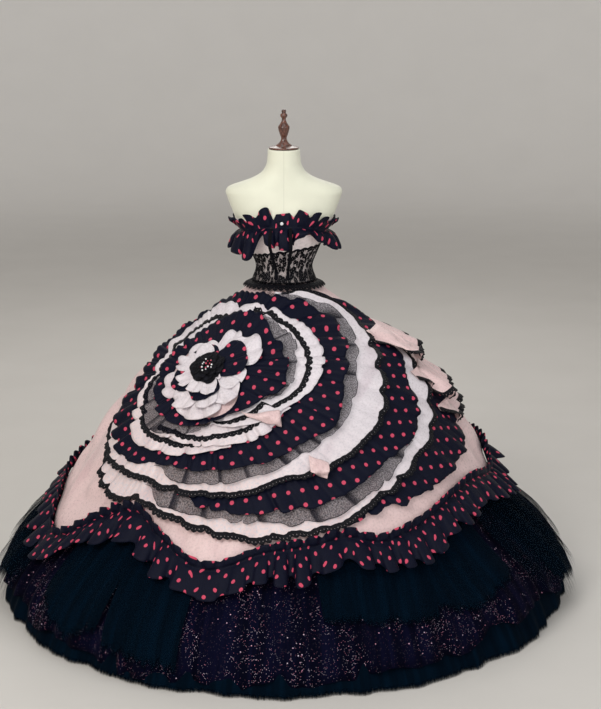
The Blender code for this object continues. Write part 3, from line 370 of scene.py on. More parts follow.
# Heart: rings of small petals as (count, reach, lift), its stones, its hole, its wall, its rim (turn, reach)
HEART_RINGS = [(7, 5.0, 0.007), (6, 3.9, 0.009), (5, 2.8, 0.009)]
HEART_STONES = 16
HEART_HOLE = 0.4
HEART_NET = 0.0006
HEART_OUTLINE = [
    (5, 5.0), (48, 4.5), (94, 4.8), (127, 5.2), (164, 5.4), (183, 5.9), (210, 5.3), (253, 4.9), (282, 5.2),
    (307, 6.4), (332, 5.5),
]

# Dress form: sections as (height, half width, front depth, back depth)
TORSO = [
    (0.800, 0.138, 0.100, 0.108), (0.860, 0.145, 0.106, 0.120), (0.920, 0.131, 0.098, 0.112),
    (0.980, 0.110, 0.086, 0.090), (1.010, 0.098, 0.079, 0.080), (1.033, 0.0910, 0.0745, 0.0745),
    (1.062, 0.0872, 0.0715, 0.0715), (1.090, 0.0905, 0.0760, 0.0735), (1.115, 0.1000, 0.0880, 0.0780),
    (1.140, 0.1110, 0.1010, 0.0830), (1.180, 0.1280, 0.1180, 0.0910), (1.210, 0.1410, 0.1200, 0.0970),
    (1.240, 0.1580, 0.1120, 0.1020), (1.275, 0.1720, 0.0990, 0.1040), (1.305, 0.1830, 0.0870, 0.1000),
    (1.325, 0.1870, 0.0790, 0.0930), (1.338, 0.1760, 0.0730, 0.0860), (1.349, 0.1450, 0.0680, 0.0790),
    (1.361, 0.1100, 0.0630, 0.0720), (1.378, 0.0780, 0.0580, 0.0640), (1.402, 0.0590, 0.0540, 0.0570),
    (1.430, 0.0530, 0.0520, 0.0530), (1.457, 0.0515, 0.0515, 0.0515),
]
TORSO_SQUARENESS = 2.15
TORSO_TOP_Z = 1.457

# Bodice: its panels and their azimuths; the cincher's top and how it lies on the skirt, as (height, stand)
BODICE_TOP_Z = 1.240
BODICE = [("bodice_front", -90, 90), ("bodice_back_left", -180, -90), ("bodice_back_right", 90, 180)]
CINCHER_TOP_Z = 1.140
CINCHER_SKIRT = [(1.0290, 0.0078), (1.0230, 0.0088), (1.0170, 0.0098)]

# Neckline ruffle: its folds, its gathering line and stand there, and its hem as (azimuth, height)
NECK_FOLDS = 17
NECK_GATHER_Z = 1.222
NECK_SEAT = 0.0029
NECK_HEM = [
    (-90, 1.146), (-66, 1.140), (-52, 1.126), (-42, 1.124), (-34, 1.140), (-29, 1.184), (-23, 1.204),
    (-17, 1.180), (-11, 1.166), (-2, 1.160), (7, 1.163), (12, 1.174), (17, 1.194), (23, 1.204), (31, 1.198),
    (40, 1.182), (48, 1.166), (58, 1.156), (70, 1.150), (90, 1.146), (135, 1.150), (180, 1.150), (225, 1.145),
]

# Ribbon: the knot's (x, height), stand and half sizes, the stone's radius, the tails' half width and
# thickness, and how they hang below the ruffle, as (height, stand)
KNOT_PLACE = (-0.006, 1.238)
KNOT_OUT = 0.0150
KNOT_HALF = (0.0090, 0.0045, 0.0072)
STONE_RADIUS = 0.0055
TAIL_HALF = 0.0048
TAIL_THICK = 0.0012
TAIL_HANG = [(1.098, 0.0240), (1.070, 0.0070), (1.048, 0.0115)]

# Turned pieces, as (radius, height): the neck cap, the base disc, and the pole's size and bevel
CAP_Z = 1.4573
CAP_PROFILE = [
    (0.0000, 0.1265), (0.0050, 0.1255), (0.0077, 0.1215), (0.0070, 0.1170), (0.0062, 0.1145),
    (0.0105, 0.1110), (0.0120, 0.1065), (0.0100, 0.1015), (0.0064, 0.0970), (0.0068, 0.0900),
    (0.0120, 0.0800), (0.0180, 0.0725), (0.0190, 0.0695), (0.0175, 0.0610), (0.0130, 0.0460),
    (0.0092, 0.0370), (0.0090, 0.0310), (0.0130, 0.0220), (0.0250, 0.0130), (0.0260, 0.0090),
    (0.0460, 0.0070), (0.0490, 0.0045), (0.0480, 0.0000), (0.0000, 0.0000),
]
DISC_TOP_Z = 0.018
DISC_PROFILE = [
    (0.0, DISC_TOP_Z), (0.150, DISC_TOP_Z), (0.164, 0.0172), (0.1685, 0.0150), (0.170, 0.0120),
    (0.170, 0.0010), (0.169, 0.0), (0.0, 0.0),
]
POLE_RADIUS = 0.014
POLE_BEVEL_IN = 0.0004
POLE_BEVEL_UP = 0.0006
SEAM_GAP = 0.0003
CLOTH = 0.0008
NET = 0.0003
WRAPS = (-360.0, 0.0, 360.0)

# Stage: lamps with their place, aim, size, power and colour; the camera fitted to the photo
Lamp = namedtuple("Lamp", "name place aim size power colour")
LAMPS = [
    Lamp("key", (-2.6, -4.2, 4.2), (0.0, 0.0, 0.7), 2.4, 155.0, (1.0, 0.97, 0.93)),
    Lamp("fill", (3.4, -3.6, 2.6), (0.0, 0.0, 0.7), 3.0, 50.0, (0.86, 0.93, 1.0)),
    Lamp("top", (0.0, -0.6, 5.0), (0.0, 0.0, 0.6), 3.5, 45.0, (1.0, 1.0, 1.0)),
    Lamp("front", (0.4, -5.0, 1.5), (0.0, 0.0, 0.9), 2.5, 36.0, (1.0, 0.98, 0.96)),
    Lamp("back", (0.0, 3.4, 3.6), (0.0, 0.0, 0.8), 3.0, 45.0, (1.0, 0.98, 0.95)),
]
CAMERA_PLACE = (0.053, -5.5, 2.171)
CAMERA_TILT = 75.8
CAMERA_LENS = 87.5
SKY_COLOUR = (0.9, 0.92, 0.95, 1.0)
SKY_STRENGTH = 0.17
FLOOR_HALF = 16.0
FLOOR_FLAT = 8.0


def ramp(low, high, value):
    """0 up to low, 1 from high on, with the smooth rise 3t^2 - 2t^3 between them."""
    t = np.clip((value - low) / (high - low), 0.0, 1.0)
    return t * t * (3.0 - 2.0 * t)


def smooth(xs, ys, x):
    """A cubic Hermite curve through points whose xs rise, with central differences as slopes."""
    xs = np.asarray(xs, float)
    ys = np.asarray(ys, float)
    slopes = np.gradient(ys, xs)
    x = np.clip(x, xs[0], xs[-1])
    i = np.clip(np.searchsorted(xs, x) - 1, 0, len(xs) - 2)
    width = xs[i + 1] - xs[i]
    t = (x - xs[i]) / width
    start = (1 + 2 * t) * (1 - t) ** 2 * ys[i] + t * (1 - t) ** 2 * width * slopes[i]
    end = t * t * (3 - 2 * t) * ys[i + 1] + t * t * (t - 1) * width * slopes[i + 1]
    return start + end


def smooth_rows(rows, x, column=1):
    """The same curve through a table's rows: one of their values over the first."""
    return smooth([row[0] for row in rows], [row[column] for row in rows], x)


def smooth_round(rows, angle):
    """The same curve round a full circle, from (angle, value) rows."""
    rows = sorted((row[0] % 360.0, row[1]) for row in rows)
    wrapped = [(turn + a, v) for turn in WRAPS for a, v in rows]
    return smooth_rows(wrapped, np.mod(angle, 360.0))


def around(count, start=-np.pi):
    """Angles evenly round a full circle, in radians."""
    return np.linspace(start, start + 2 * np.pi, count, endpoint=False)


def drift(angle, seed, waves=(2, 3, 5, 7)):
    """A smooth uneven curve round a circle, about -1 to 1: sines of a few whole frequencies."""
    chance = np.random.default_rng(seed)
    total = np.zeros(np.shape(angle))
    for count in waves:
        total = total + chance.uniform(0.5, 1.0) * np.sin(count * angle + chance.uniform(0.0, 6.283))
    return total / (0.75 * len(waves) ** 0.5)


def pleat(phase, sharpness=1.3):
    """Cloth folds from -1 to 1: round ridges and narrow valleys, 2 |sin(phase / 2)|^sharpness - 1."""
    return 2.0 * np.abs(np.sin(phase / 2.0)) ** sharpness - 1.0


def gathers(angle, folds, seed, loop=0.5, wander=1.6, waves=(2, 3, 5, 8)):
    """Looped folds of a ruffle: their phase, their uneven size and their shift sideways.

    The cloth bulges by cos(phase) and shifts by (0.4 sin(phase) + loop sin(2 phase)) / folds, so that
    each ridge is wider than the valley beside it.
    """
    phase = folds * angle + wander * drift(angle, seed, waves)
    size = 0.80 + 0.42 * drift(angle, seed + 1, (5, 9, 14, 23))
    return phase, size, (0.4 * np.sin(phase) + loop * np.sin(2.0 * phase)) / folds


def lobes(phase):
    """Round lobes over the ridges with sharp notches between them, from -1 to 1."""
    return pleat(phase + np.pi, 1.0)


PROFILE_Z = np.linspace(SKIRT_PROFILE[-1][0], SKIRT_PROFILE[0][0], 400)
PROFILE_R = smooth_rows(SKIRT_PROFILE[::-1], PROFILE_Z)
PROFILE_ELEVATION = np.arctan2(PROFILE_Z - DOME_CENTRE_Z, PROFILE_R)
PROFILE_REACH = np.hypot(PROFILE_Z - DOME_CENTRE_Z, PROFILE_R)


def direction(azimuth, elevation):
    """Unit vectors from the dome's centre, from azimuths and elevations in radians."""
    flat = np.cos(elevation)
    return np.stack([flat * np.sin(azimuth), -flat * np.cos(azimuth), np.sin(elevation)], axis=-1)


ROSE_AXIS = direction(math.radians(ROSE_AZIMUTH), math.radians(ROSE_ELEVATION))
ROSE_UP = np.array([0.0, 0.0, 1.0]) - ROSE_AXIS[2] * ROSE_AXIS
ROSE_UP /= np.linalg.norm(ROSE_UP)
ROSE_RIGHT = np.cross(ROSE_UP, ROSE_AXIS)


def rose_direction(turn, reach):
    """Unit vectors at a turn round the rose's axis and a reach away from it, in degrees."""
    turn = np.radians(turn)[..., None]
    reach = np.radians(reach)[..., None]
    return np.cos(reach) * ROSE_AXIS + np.sin(reach) * (np.cos(turn) * ROSE_RIGHT + np.sin(turn) * ROSE_UP)


def rose_angles(vectors):
    """Turns and reaches, in degrees, of directions from the dome's centre."""
    turn = np.degrees(np.arctan2(vectors @ ROSE_UP, vectors @ ROSE_RIGHT))
    return turn, np.degrees(np.arccos(np.clip(vectors @ ROSE_AXIS, -1, 1)))


def tier_hem(tier, turns):
    """Reach of a tier's hem at each turn, from its outline's smooth curve."""
    if tier.end - tier.start >= 360:
        return smooth_round(tier.outline, turns)
    return smooth_rows(tier.outline, turns)


def rose_outline():
    """How far the finished rose reaches at each whole degree of turn, the most of all its tiers."""
    turns = np.arange(-180.0, 181.0)
    reach = np.zeros(turns.shape)
    for tier in TIERS:
        for shift in WRAPS:
            inside = (turns + shift >= tier.start) & (turns + shift <= tier.end)
            edge = smooth_rows(tier.outline, turns + shift)
            reach = np.where(inside, np.maximum(reach, edge), reach)
    return turns, reach


OUTLINE_TURNS, OUTLINE_REACH = rose_outline()


def beside_rose(vectors, near=3.0, far=16.0):
    """0 up to the near angle outside the rose, 1 from the far angle on, in degrees."""
    turn, reach = rose_angles(vectors)
    return ramp(near, far, reach - np.interp(turn, OUTLINE_TURNS, OUTLINE_REACH))


def satin_fold(vectors):
    """Height of the satin's wide soft folds: a drifting cosine, faded under the rose and upward."""
    azimuth = np.arctan2(vectors[..., 0], -vectors[..., 1])
    elevation = np.degrees(np.arcsin(vectors[..., 2]))
    wave = 0.5 + 0.5 * np.cos(SATIN_FOLDS * azimuth + 1.1 * np.sin(3 * azimuth + 0.7))
    return SATIN_FOLD_DEPTH * wave * beside_rose(vectors) * ramp(60.0, 25.0, elevation)


def satin_creases(vectors):
    """Depth of the placed creases: each a bell of the distance from a line, with a low ridge beside it."""
    total = np.zeros(vectors.shape[:-1])
    for *ends, width, depth in SATIN_CREASES:
        start, end = (direction(*np.radians(place_at)) for place_at in ends)
        run = end - start
        share = np.clip((vectors - start) @ run / (run @ run), 0.0, 1.0)
        away = np.linalg.norm(vectors - start - share[..., None] * run, axis=-1) / math.radians(width)
        fade = 0.35 + 0.65 * np.sin(np.pi * share)
        total += depth * fade * (0.45 * np.exp(-((away - 1.8) / 0.8) ** 2) - np.exp(-away ** 2))
    return total


def squash(points):
    """Flattens the skirt's top front to back, toward the waist's oval."""
    points = np.array(points)
    points[..., 1] *= 1.0 - (1.0 - WAIST_DEPTH) * ramp(SQUASH_BOTTOM_Z, WAIST_SEAM_Z, points[..., 2])
    return points


def on_dome(vectors, out):
    """Points over the satin surface: centre + (profile reach + folds + out) times the direction."""
    elevation = np.arcsin(np.clip(vectors[..., 2], -1.0, 1.0))
    distance = np.interp(elevation, PROFILE_ELEVATION, PROFILE_REACH) + satin_fold(vectors) + out
    return squash(np.array([0.0, 0.0, DOME_CENTRE_Z]) + distance[..., None] * vectors)


def dome_elevation(z):
    """Elevation from the dome's centre of the satin surface at a height."""
    return np.arctan2(z - DOME_CENTRE_Z, np.interp(z, PROFILE_Z, PROFILE_R))


def torso_at(azimuths, heights, out):
    """Points round the form: a superellipse with smooth half sizes over its height, moved out."""
    half_width, front, back = (smooth_rows(TORSO, heights, column) for column in (1, 2, 3))
    across, ahead = np.sin(azimuths), np.cos(azimuths)
    power = 2.0 / TORSO_SQUARENESS
    x = (half_width + out) * np.sign(across) * np.abs(across) ** power
    y = -(np.where(ahead > 0, front, back) + out) * np.sign(ahead) * np.abs(ahead) ** power
    return np.stack([x, y, heights + 0.0 * azimuths], axis=-1)


def grid_of(rows, columns):
    """Two grids, rows by columns, of a list of row values and a list of column values."""
    across, down = np.meshgrid(columns, rows)
    return down, across


def lengths(grid, axis):
    """Running length of a grid's lines along an axis, from 0."""
    steps = np.linalg.norm(np.diff(grid, axis=axis), axis=-1)
    pad = [(0, 0), (0, 0)]
    pad[axis] = (1, 0)
    return np.pad(np.cumsum(steps, axis=axis), pad)


def closed_grid(grid):
    """A ring's grid with its first column again at the end."""
    return np.concatenate([grid, grid[:, :1]], axis=1)


def gathered_uv(grid, closed=False):
    """Flat cloth of a ruffle: across it the length of its hem, down it the length of its columns."""
    whole = closed_grid(grid) if closed else grid
    across = lengths(whole, 1)[-1]
    return np.stack([np.broadcast_to(across, whole.shape[:2]), lengths(whole, 0)], axis=-1)


def make_mesh(name, points, faces, finish):
    """A mesh object at the origin with one finish, shaded smooth."""
    mesh = bpy.data.meshes.new(name)
    mesh.from_pydata(np.asarray(points, float).tolist(), [], list(faces))
    mesh.polygons.foreach_set("use_smooth", np.ones(len(mesh.polygons), bool))
    mesh.materials.append(get_material(finish))
    made = bpy.data.objects.new(name, mesh)
    bpy.context.scene.collection.objects.link(made)
    return made


def grid_quads(rows, columns, closed):
    """Corner indices of a grid's quads, facing out, and the same with the seam's column unwrapped."""
    last = columns if closed else columns - 1
    down, across = np.meshgrid(np.arange(rows - 1), np.arange(last), indexing="ij")
    corners = [(down, across), (down + 1, across), (down + 1, across + 1), (down, across + 1)]
    wrapped = [r * columns + c % columns for r, c in corners]
    unwrapped = [r * (last + 1) + c for r, c in corners]
    return np.stack(wrapped, -1).reshape(-1, 4), np.stack(unwrapped, -1).reshape(-1, 4)


def capped_faces(rows, columns):
    """Faces of a tube from a ring's grid, facing out, with one face over each of its ends."""
    last = (rows - 1) * columns
    ends = [list(range(columns)), list(range(last, last + columns))[::-1]]
    return grid_quads(rows, columns, True)[0].tolist() + ends


def shares_of(rows, columns):
    """A grid of shares across and down a cloth, each from 0 to 1."""
    return np.stack(np.meshgrid(np.linspace(0, 1, columns), np.linspace(0, 1, rows)), axis=-1)


def add_uvs(made, uv, span, corners):
    """The UV maps "cloth" and "span" of a mesh, from values at its points and its faces' corners."""
    for layer, values in (("cloth", uv), ("span", span)):
        flat = values.reshape(-1, 2)[corners.ravel()].astype(np.float32).ravel()
        made.data.uv_layers.new(name=layer).data.foreach_set("uv", flat)


def add_value(made, name, values):
    """A named value at each point of a mesh."""
    flat = np.asarray(values).astype(np.float32).ravel()
    made.data.attributes.new(name, "FLOAT", "POINT").data.foreach_set("value", flat)


def thicken(made, thick, outward=True):
    """A Solidify wall on one side of a cloth."""
    wall = made.modifiers.new("thickness", "SOLIDIFY")
    wall.thickness = thick
    wall.offset = 1.0 if outward else -1.0


def make_cloth(name, grid, finish, uv=None, closed=False, thick=CLOTH, outward=True, ply=None):
    """A cloth from a grid of points, with its UV maps and its wall, and where its net is doubled or painted denser as
    pleat shade.
    """
    rows, columns = grid.shape[:2]
    wrapped, unwrapped = grid_quads(rows, columns, closed)
    made = make_mesh(name, grid.reshape(-1, 3), wrapped.tolist(), finish)
    if uv is None:
        uv = gathered_uv(grid, closed)
    add_uvs(made, uv, shares_of(rows, uv.shape[1]), unwrapped)
    if ply is not None:
        add_value(made, "ply", np.broadcast_to(ply, (rows, columns)))
    if thick:
        thicken(made, thick, outward)
    return made


def place(piece, slot, *nodes):
    """The piece rides on the frame, stands for its nodes and takes a material slot's finish."""
    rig.ride(piece, "root")
    if nodes:
        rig.replaces(piece, *nodes)
    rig.slot(piece, slot)
    return piece


def declare(piece, grid, closed, held, rests_on, with_pieces=()):
    """States a cloth's flat cut: its widest row by its mean column, and its own area."""
    whole = closed_grid(grid) if closed else grid
    width = float(lengths(whole, 1)[:, -1].max())
    length = float(lengths(whole, 0)[-1].mean())
    along = np.linalg.norm(np.diff(whole, axis=1), axis=-1)
    down = np.linalg.norm(np.diff(whole, axis=0), axis=-1)
    area = float((0.5 * (along[1:] + along[:-1]) * 0.5 * (down[:, 1:] + down[:, :-1])).sum())
    flat = (round(max(width, 0.01), 3), round(max(length, 0.01), 3))
    area = min(max(round(area, 4), 0.31 * flat[0] * flat[1]), flat[0] * flat[1])
    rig.sheet(piece, flat=flat, held=held, rests_on=rests_on, area=area, with_pieces=with_pieces)


def sew(name, grid, finish, slot, node, rests_on, held="gathered", **cloth):
    """A cloth that stands for one node: made as the cloth's own settings say, placed and stated."""
    piece = make_cloth(name, grid, finish, **cloth)
    place(piece, slot, node)
    declare(piece, grid, cloth.get("closed", False), held, rests_on)


def add_node(tree, kind, inputs=None, **settings):
    """A shader node with its settings, its inputs set to values or linked to sockets."""
    node = tree.nodes.new("ShaderNode" + kind)
    for key, value in settings.items():
        setattr(node, key, value)
    for key, value in (inputs or {}).items():
        if isinstance(value, bpy.types.NodeSocket):
            tree.links.new(value, node.inputs[key])
        else:
            node.inputs[key].default_value = value
    return node


def calc(tree, operation, first, second=0.0):
    """Output of a Math node."""
    return add_node(tree, "Math", {0: first, 1: second}, operation=operation).outputs[0]


def plus(tree, first, *others):
    """The sum of two or more values."""
    for other in others:
        first = calc(tree, "ADD", first, other)
    return first


def minus(tree, first, second):
    """The first value less the second."""
    return calc(tree, "SUBTRACT", first, second)


def times(tree, first, second):
    """The product of two values."""
    return calc(tree, "MULTIPLY", first, second)


def vector_calc(tree, operation, first, second=(0.0, 0.0, 0.0)):
    """Vector output of a Vector Math node."""
    return add_node(tree, "VectorMath", {0: first, 1: second}, operation=operation).outputs[0]


def stretch(tree, vector, *factors):
    """A vector with each of its parts times its own factor."""
    return vector_calc(tree, "MULTIPLY", vector, factors)


def length_of(tree, vector):
    """The length of a vector."""
    return add_node(tree, "VectorMath", {0: vector}, operation="LENGTH").outputs["Value"]


def parts_of(tree, vector):
    """The X, Y and Z of a vector."""
    return add_node(tree, "SeparateXYZ", {"Vector": vector}).outputs


def rise(tree, value, low, high, start=0.0, end=1.0):
    """Output of a smooth Map Range node."""
    inputs = {"Value": value, "From Min": low, "From Max": high, "To Min": start, "To Max": end}
    return add_node(tree, "MapRange", inputs, interpolation_type="SMOOTHSTEP").outputs["Result"]


BLACK = (0.0, 0.0, 0.0, 1.0)


def opaque(colour, factor=1.0):
    """A plain colour made darker or lighter, with full alpha."""
    return (*[min(1.0, factor * part) for part in colour], 1.0)


def mix_colour(tree, factor, first, second):
    """Colour output of a Mix node, whose sockets 0, 6 and 7 are its factor and its two colours."""
    return add_node(tree, "Mix", {0: factor, 6: first, 7: second}, data_type="RGBA").outputs[2]


def shade(tree, factor, colour, change):
    """A colour that turns into a darker or lighter one of itself as the factor rises."""
    return mix_colour(tree, factor, opaque(colour), opaque(colour, change))


def noise(tree, vector, scale, detail=2.0, roughness=0.5):
    """Value output of a Noise Texture."""
    inputs = {"Vector": vector, "Scale": scale, "Detail": detail, "Roughness": roughness}
    return add_node(tree, "TexNoise", inputs).outputs["Fac"]


def new_group(name, inputs, outputs):
    """An empty shader node group with named inputs (name, kind, default) and outputs (name, kind)."""
    tree = bpy.data.node_groups.new(name, "ShaderNodeTree")
    for label, kind, default in inputs:
        socket = tree.interface.new_socket(label, in_out="INPUT", socket_type="NodeSocket" + kind)
        if default is not None:
            socket.default_value = default
    for label, kind in outputs:
        tree.interface.new_socket(label, in_out="OUTPUT", socket_type="NodeSocket" + kind)
    return tree, tree.nodes.new("NodeGroupInput").outputs, tree.nodes.new("NodeGroupOutput").inputs


def use_group(tree, name, inputs):
    """Outputs of a node group placed in a material with its own values."""
    return add_node(tree, "Group", inputs, node_tree=bpy.data.node_groups[name]).outputs


def build_dot_group():
    """Round dots on two square lattices, one set between the other: 1 inside, 0 outside."""
    tree, given, result = new_group(
        "printed dots", [("Vector", "Vector", None), ("Spacing", "Float", 0.05), ("Radius", "Float", 0.008)],
        [("Mask", "Float")])
    sides = {"X": given["Spacing"], "Y": given["Spacing"], "Z": 1.0}
    size = add_node(tree, "CombineXYZ", sides).outputs[0]
    wobble = noise(tree, given["Vector"], 60.0)
    masks = []
    for shift in (0.0, 0.5):
        cell = vector_calc(tree, "DIVIDE", given["Vector"], size)
        cell = vector_calc(tree, "ADD", cell, (shift, shift, 0.0))
        cell = vector_calc(tree, "SUBTRACT", vector_calc(tree, "FRACTION", cell), (0.5, 0.5, 0.0))
        cell = stretch(tree, cell, 1.0, 1.0, 0.0)
        away = times(tree, length_of(tree, cell), given["Spacing"])
        away = plus(tree, away, times(tree, minus(tree, wobble, 0.5), 0.002))
        soft = plus(tree, given["Radius"], 0.0005)
        masks.append(rise(tree, away, soft, minus(tree, given["Radius"], 0.0005)))
    tree.links.new(calc(tree, "MAXIMUM", *masks), result["Mask"])


def build_weave_group():
    """Thread relief of a plain weave, sin(u) sin(v) at the thread's width, over soft slubs."""
    tree, given, result = new_group(
        "plain weave", [("Vector", "Vector", None), ("Thread", "Float", 0.001)],
        [("Height", "Float"), ("Slub", "Float")])
    turns = calc(tree, "DIVIDE", 6.2832, given["Thread"])
    part = parts_of(tree, given["Vector"])
    over = calc(tree, "SINE", times(tree, part["X"], turns))
    under = calc(tree, "SINE", times(tree, part["Y"], turns))
    weave = times(tree, over, under)
    long_way = stretch(tree, given["Vector"], 1.0, 6.0, 1.0)
    cross_way = stretch(tree, given["Vector"], 6.0, 1.0, 1.0)
    slub = plus(tree, noise(tree, long_way, 140.0, 3.0), noise(tree, cross_way, 140.0, 3.0))
    tree.links.new(plus(tree, times(tree, weave, 0.3), slub), result["Height"])
    tree.links.new(times(tree, slub, 0.5), result["Slub"])


def build_lace_group():
    """Floral lace: ground net from cell edges, and flowers, discs round cell points that noise curls."""
    tree, given, result = new_group(
        "floral lace", [("Vector", "Vector", None), ("Flower", "Float", 0.02), ("Net", "Float", 0.003)],
        [("Thread", "Float"), ("Height", "Float")])
    per_flower = calc(tree, "DIVIDE", 1.0, given["Flower"])
    per_net = calc(tree, "DIVIDE", 1.0, given["Net"])
    round_points = {"Vector": given["Vector"], "Scale": per_flower, "Randomness": 0.85}
    cells = add_node(tree, "TexVoronoi", round_points, voronoi_dimensions="2D")
    away = cells.outputs["Distance"]
    curl = noise(tree, given["Vector"], times(tree, per_flower, 2.6), 3.0, 0.6)
    petals = plus(tree, away, times(tree, minus(tree, curl, 0.5), 0.9))
    flower = rise(tree, petals, 0.53, 0.44)
    eye = rise(tree, away, 0.06, 0.10)
    flower = times(tree, flower, eye)
    meshes = {"Vector": given["Vector"], "Scale": per_net, "Randomness": 0.4}
    net = add_node(tree, "TexVoronoi", meshes, voronoi_dimensions="2D", feature="DISTANCE_TO_EDGE")
    net = rise(tree, net.outputs["Distance"], 0.075, 0.035)
    tree.links.new(calc(tree, "MAXIMUM", flower, net), result["Thread"])
    tree.links.new(plus(tree, flower, times(tree, net, 0.4)), result["Height"])


def build_glitter_group():
    """Glitter specks: small cells of which a share shines, each a disc round its cell's point."""
    tree, given, result = new_group(
        "glitter specks", [("Vector", "Vector", None), ("Speck", "Float", 0.004), ("Share", "Float", 0.2)],
        [("Mask", "Float"), ("Chance", "Float")])
    per_speck = calc(tree, "DIVIDE", 1.0, given["Speck"])
    cells = add_node(tree, "TexVoronoi", {"Vector": given["Vector"], "Scale": per_speck})
    part = add_node(tree, "SeparateColor", {"Color": cells.outputs["Color"]}).outputs
    chosen = calc(tree, "LESS_THAN", part["Red"], given["Share"])
    disc = rise(tree, cells.outputs["Distance"], 0.42, 0.22)
    tree.links.new(times(tree, chosen, disc), result["Mask"])
    tree.links.new(part["Green"], result["Chance"])


def new_material(name, colour, roughness, **sockets):
    """A Principled material, its tree and its shader, with plain values on the shader's sockets."""
    made = bpy.data.materials.new(name)
    made.use_nodes = True
    tree = made.node_tree
    shader = tree.nodes["Principled BSDF"]
    shader.inputs["Base Color"].default_value = opaque(colour)
    shader.inputs["Roughness"].default_value = roughness
    for label, value in sockets.items():
        shader.inputs[label.replace("_", " ")].default_value = value
    made.diffuse_color = opaque(colour)
    return made, tree, shader


def wire(tree, shader, **sockets):
    """Links values to the shader's sockets of these names."""
    for label, value in sockets.items():
        tree.links.new(value, shader.inputs[label.replace("_", " ")])


def add_bump(tree, shader, height, strength, distance):
    """A Bump node from a height to the shader's normal."""
    bump = add_node(tree, "Bump", {"Height": height, "Strength": strength, "Distance": distance})
    wire(tree, shader, Normal=bump.outputs["Normal"])


def cloth_uv(tree, layer="cloth"):
    """The cloth's own UV map."""
    return add_node(tree, "UVMap", uv_map=layer).outputs["UV"]


def object_point(tree):
    """Object coordinates in metres."""
    return add_node(tree, "TexCoord").outputs["Object"]


def satin_material(name, colour, low_colour, roughness):
    """Satin with a fine crepe relief, soft mottling and painted shade in its wide folds, a second colour toward the
    floor.
    """
    made, tree, shader = new_material(name, colour, roughness, Sheen_Weight=0.15, Sheen_Roughness=0.4)
    weave = use_group(tree, "plain weave", {"Vector": cloth_uv(tree), "Thread": 0.0009})
    mottle = noise(tree, cloth_uv(tree), 120.0, 4.0, 0.65)
    cloudy = noise(tree, object_point(tree), 5.0, 2.0)
    part = parts_of(tree, object_point(tree))
    height = plus(tree, part["Z"], times(tree, part["X"], 0.35))
    low = rise(tree, plus(tree, height, times(tree, cloudy, 0.16)), 0.86, 0.44)
    base = mix_colour(tree, low, opaque(colour), opaque(low_colour))
    base = mix_colour(tree, rise(tree, mottle, 0.58, 0.34), base, opaque(colour, 0.88))
    # Painted shade: the colour darkens toward a shade tone in the troughs of the wide folds that the bump also draws.
    fold = noise(tree, stretch(tree, cloth_uv(tree), 1.0, 0.35, 1.0), 13.0, 2.0, 0.5)
    deep = rise(tree, fold, 0.50, 0.30, 0.0, 0.55)
    painted_fold_shade = {"Fac": deep, "Color1": base, "Color2": (0.80, 0.73, 0.76, 1.0)}
    wire(tree, shader, Base_Color=add_node(tree, "MixRGB", painted_fold_shade, blend_type="MULTIPLY").outputs["Color"])
    wire(tree, shader, Roughness=rise(tree, mottle, 0.3, 0.7, roughness - 0.12, roughness + 0.12))
    crease = noise(tree, stretch(tree, cloth_uv(tree), 1.0, 0.45, 1.0), 32.0, 3.0, 0.55)
    fine = plus(tree, times(tree, weave["Height"], 0.3), times(tree, mottle, 0.6))
    relief = plus(tree, fine, times(tree, crease, 8.0), times(tree, fold, 14.0))
    add_bump(tree, shader, relief, 0.35, 0.0010)
    return made


def dotted_material(name, colour, dot_colour, spacing, radius):
    """Dark crepe with printed round dots."""
    made, tree, shader = new_material(name, colour, 0.5, Specular_IOR_Level=0.10)
    uv = cloth_uv(tree)
    mask = use_group(tree, "printed dots", {"Vector": uv, "Spacing": spacing, "Radius": radius})["Mask"]
    weave = use_group(tree, "plain weave", {"Vector": uv, "Thread": 0.0011})
    base = shade(tree, rise(tree, weave["Slub"], 0.42, 0.62), colour, 1.8)
    dots = mix_colour(tree, weave["Slub"], opaque(dot_colour), opaque(dot_colour, 1.25))
    wire(tree, shader, Base_Color=mix_colour(tree, mask, base, dots))
    wire(tree, shader, Roughness=rise(tree, mask, 0.0, 1.0, 0.5, 0.72))
    add_bump(tree, shader, weave["Height"], 0.3, 0.0010)
    return made


def tulle_material(name, colour, grain, alpha_low, alpha_high, ragged=0.0, bound=False):
    """Net cloth: a grain of threads, denser where doubled or bound and in a painted shade beside each pleat, thinning
    to a ragged hem.
    """
    made, tree, shader = new_material(name, colour, 0.85, Specular_IOR_Level=0.02)
    uv = cloth_uv(tree)
    threads = noise(tree, uv, grain, 2.0, 0.7)
    pull = noise(tree, stretch(tree, uv, 1.0, 0.06, 1.0), 26.0, 3.0, 0.6)
    wire(tree, shader, Base_Color=shade(tree, rise(tree, pull, 0.40, 0.68), colour, 1.8))
    alpha = rise(tree, threads, 0.38, 0.66, alpha_low, alpha_high)
    part = parts_of(tree, cloth_uv(tree, "span"))["Y"]
    if bound:
        # The ply value is doubled net at each pleat's edge, and its fade toward the next pleat is painted pleat shade,
        # drawn as denser net.
        doubled = times(tree, add_node(tree, "Attribute", attribute_name="ply").outputs["Fac"], 0.55)
        darker = calc(tree, "MAXIMUM", doubled, rise(tree, part, 0.955, 0.985, 0.0, 0.6))
        rest = minus(tree, 1.0, alpha)
        alpha = plus(tree, alpha, times(tree, darker, rest))
    if ragged:
        teeth = noise(tree, stretch(tree, uv, 1.0, 0.12, 1.0), 110.0, 4.0, 0.7)
        edge = minus(tree, part, times(tree, minus(tree, teeth, 0.5), 1.9 * ragged))
        alpha = times(tree, alpha, rise(tree, edge, 1.0, 1.0 - ragged))
    wire(tree, shader, Alpha=alpha)
    add_bump(tree, shader, plus(tree, threads, pull), 0.4, 0.0010)
    return made


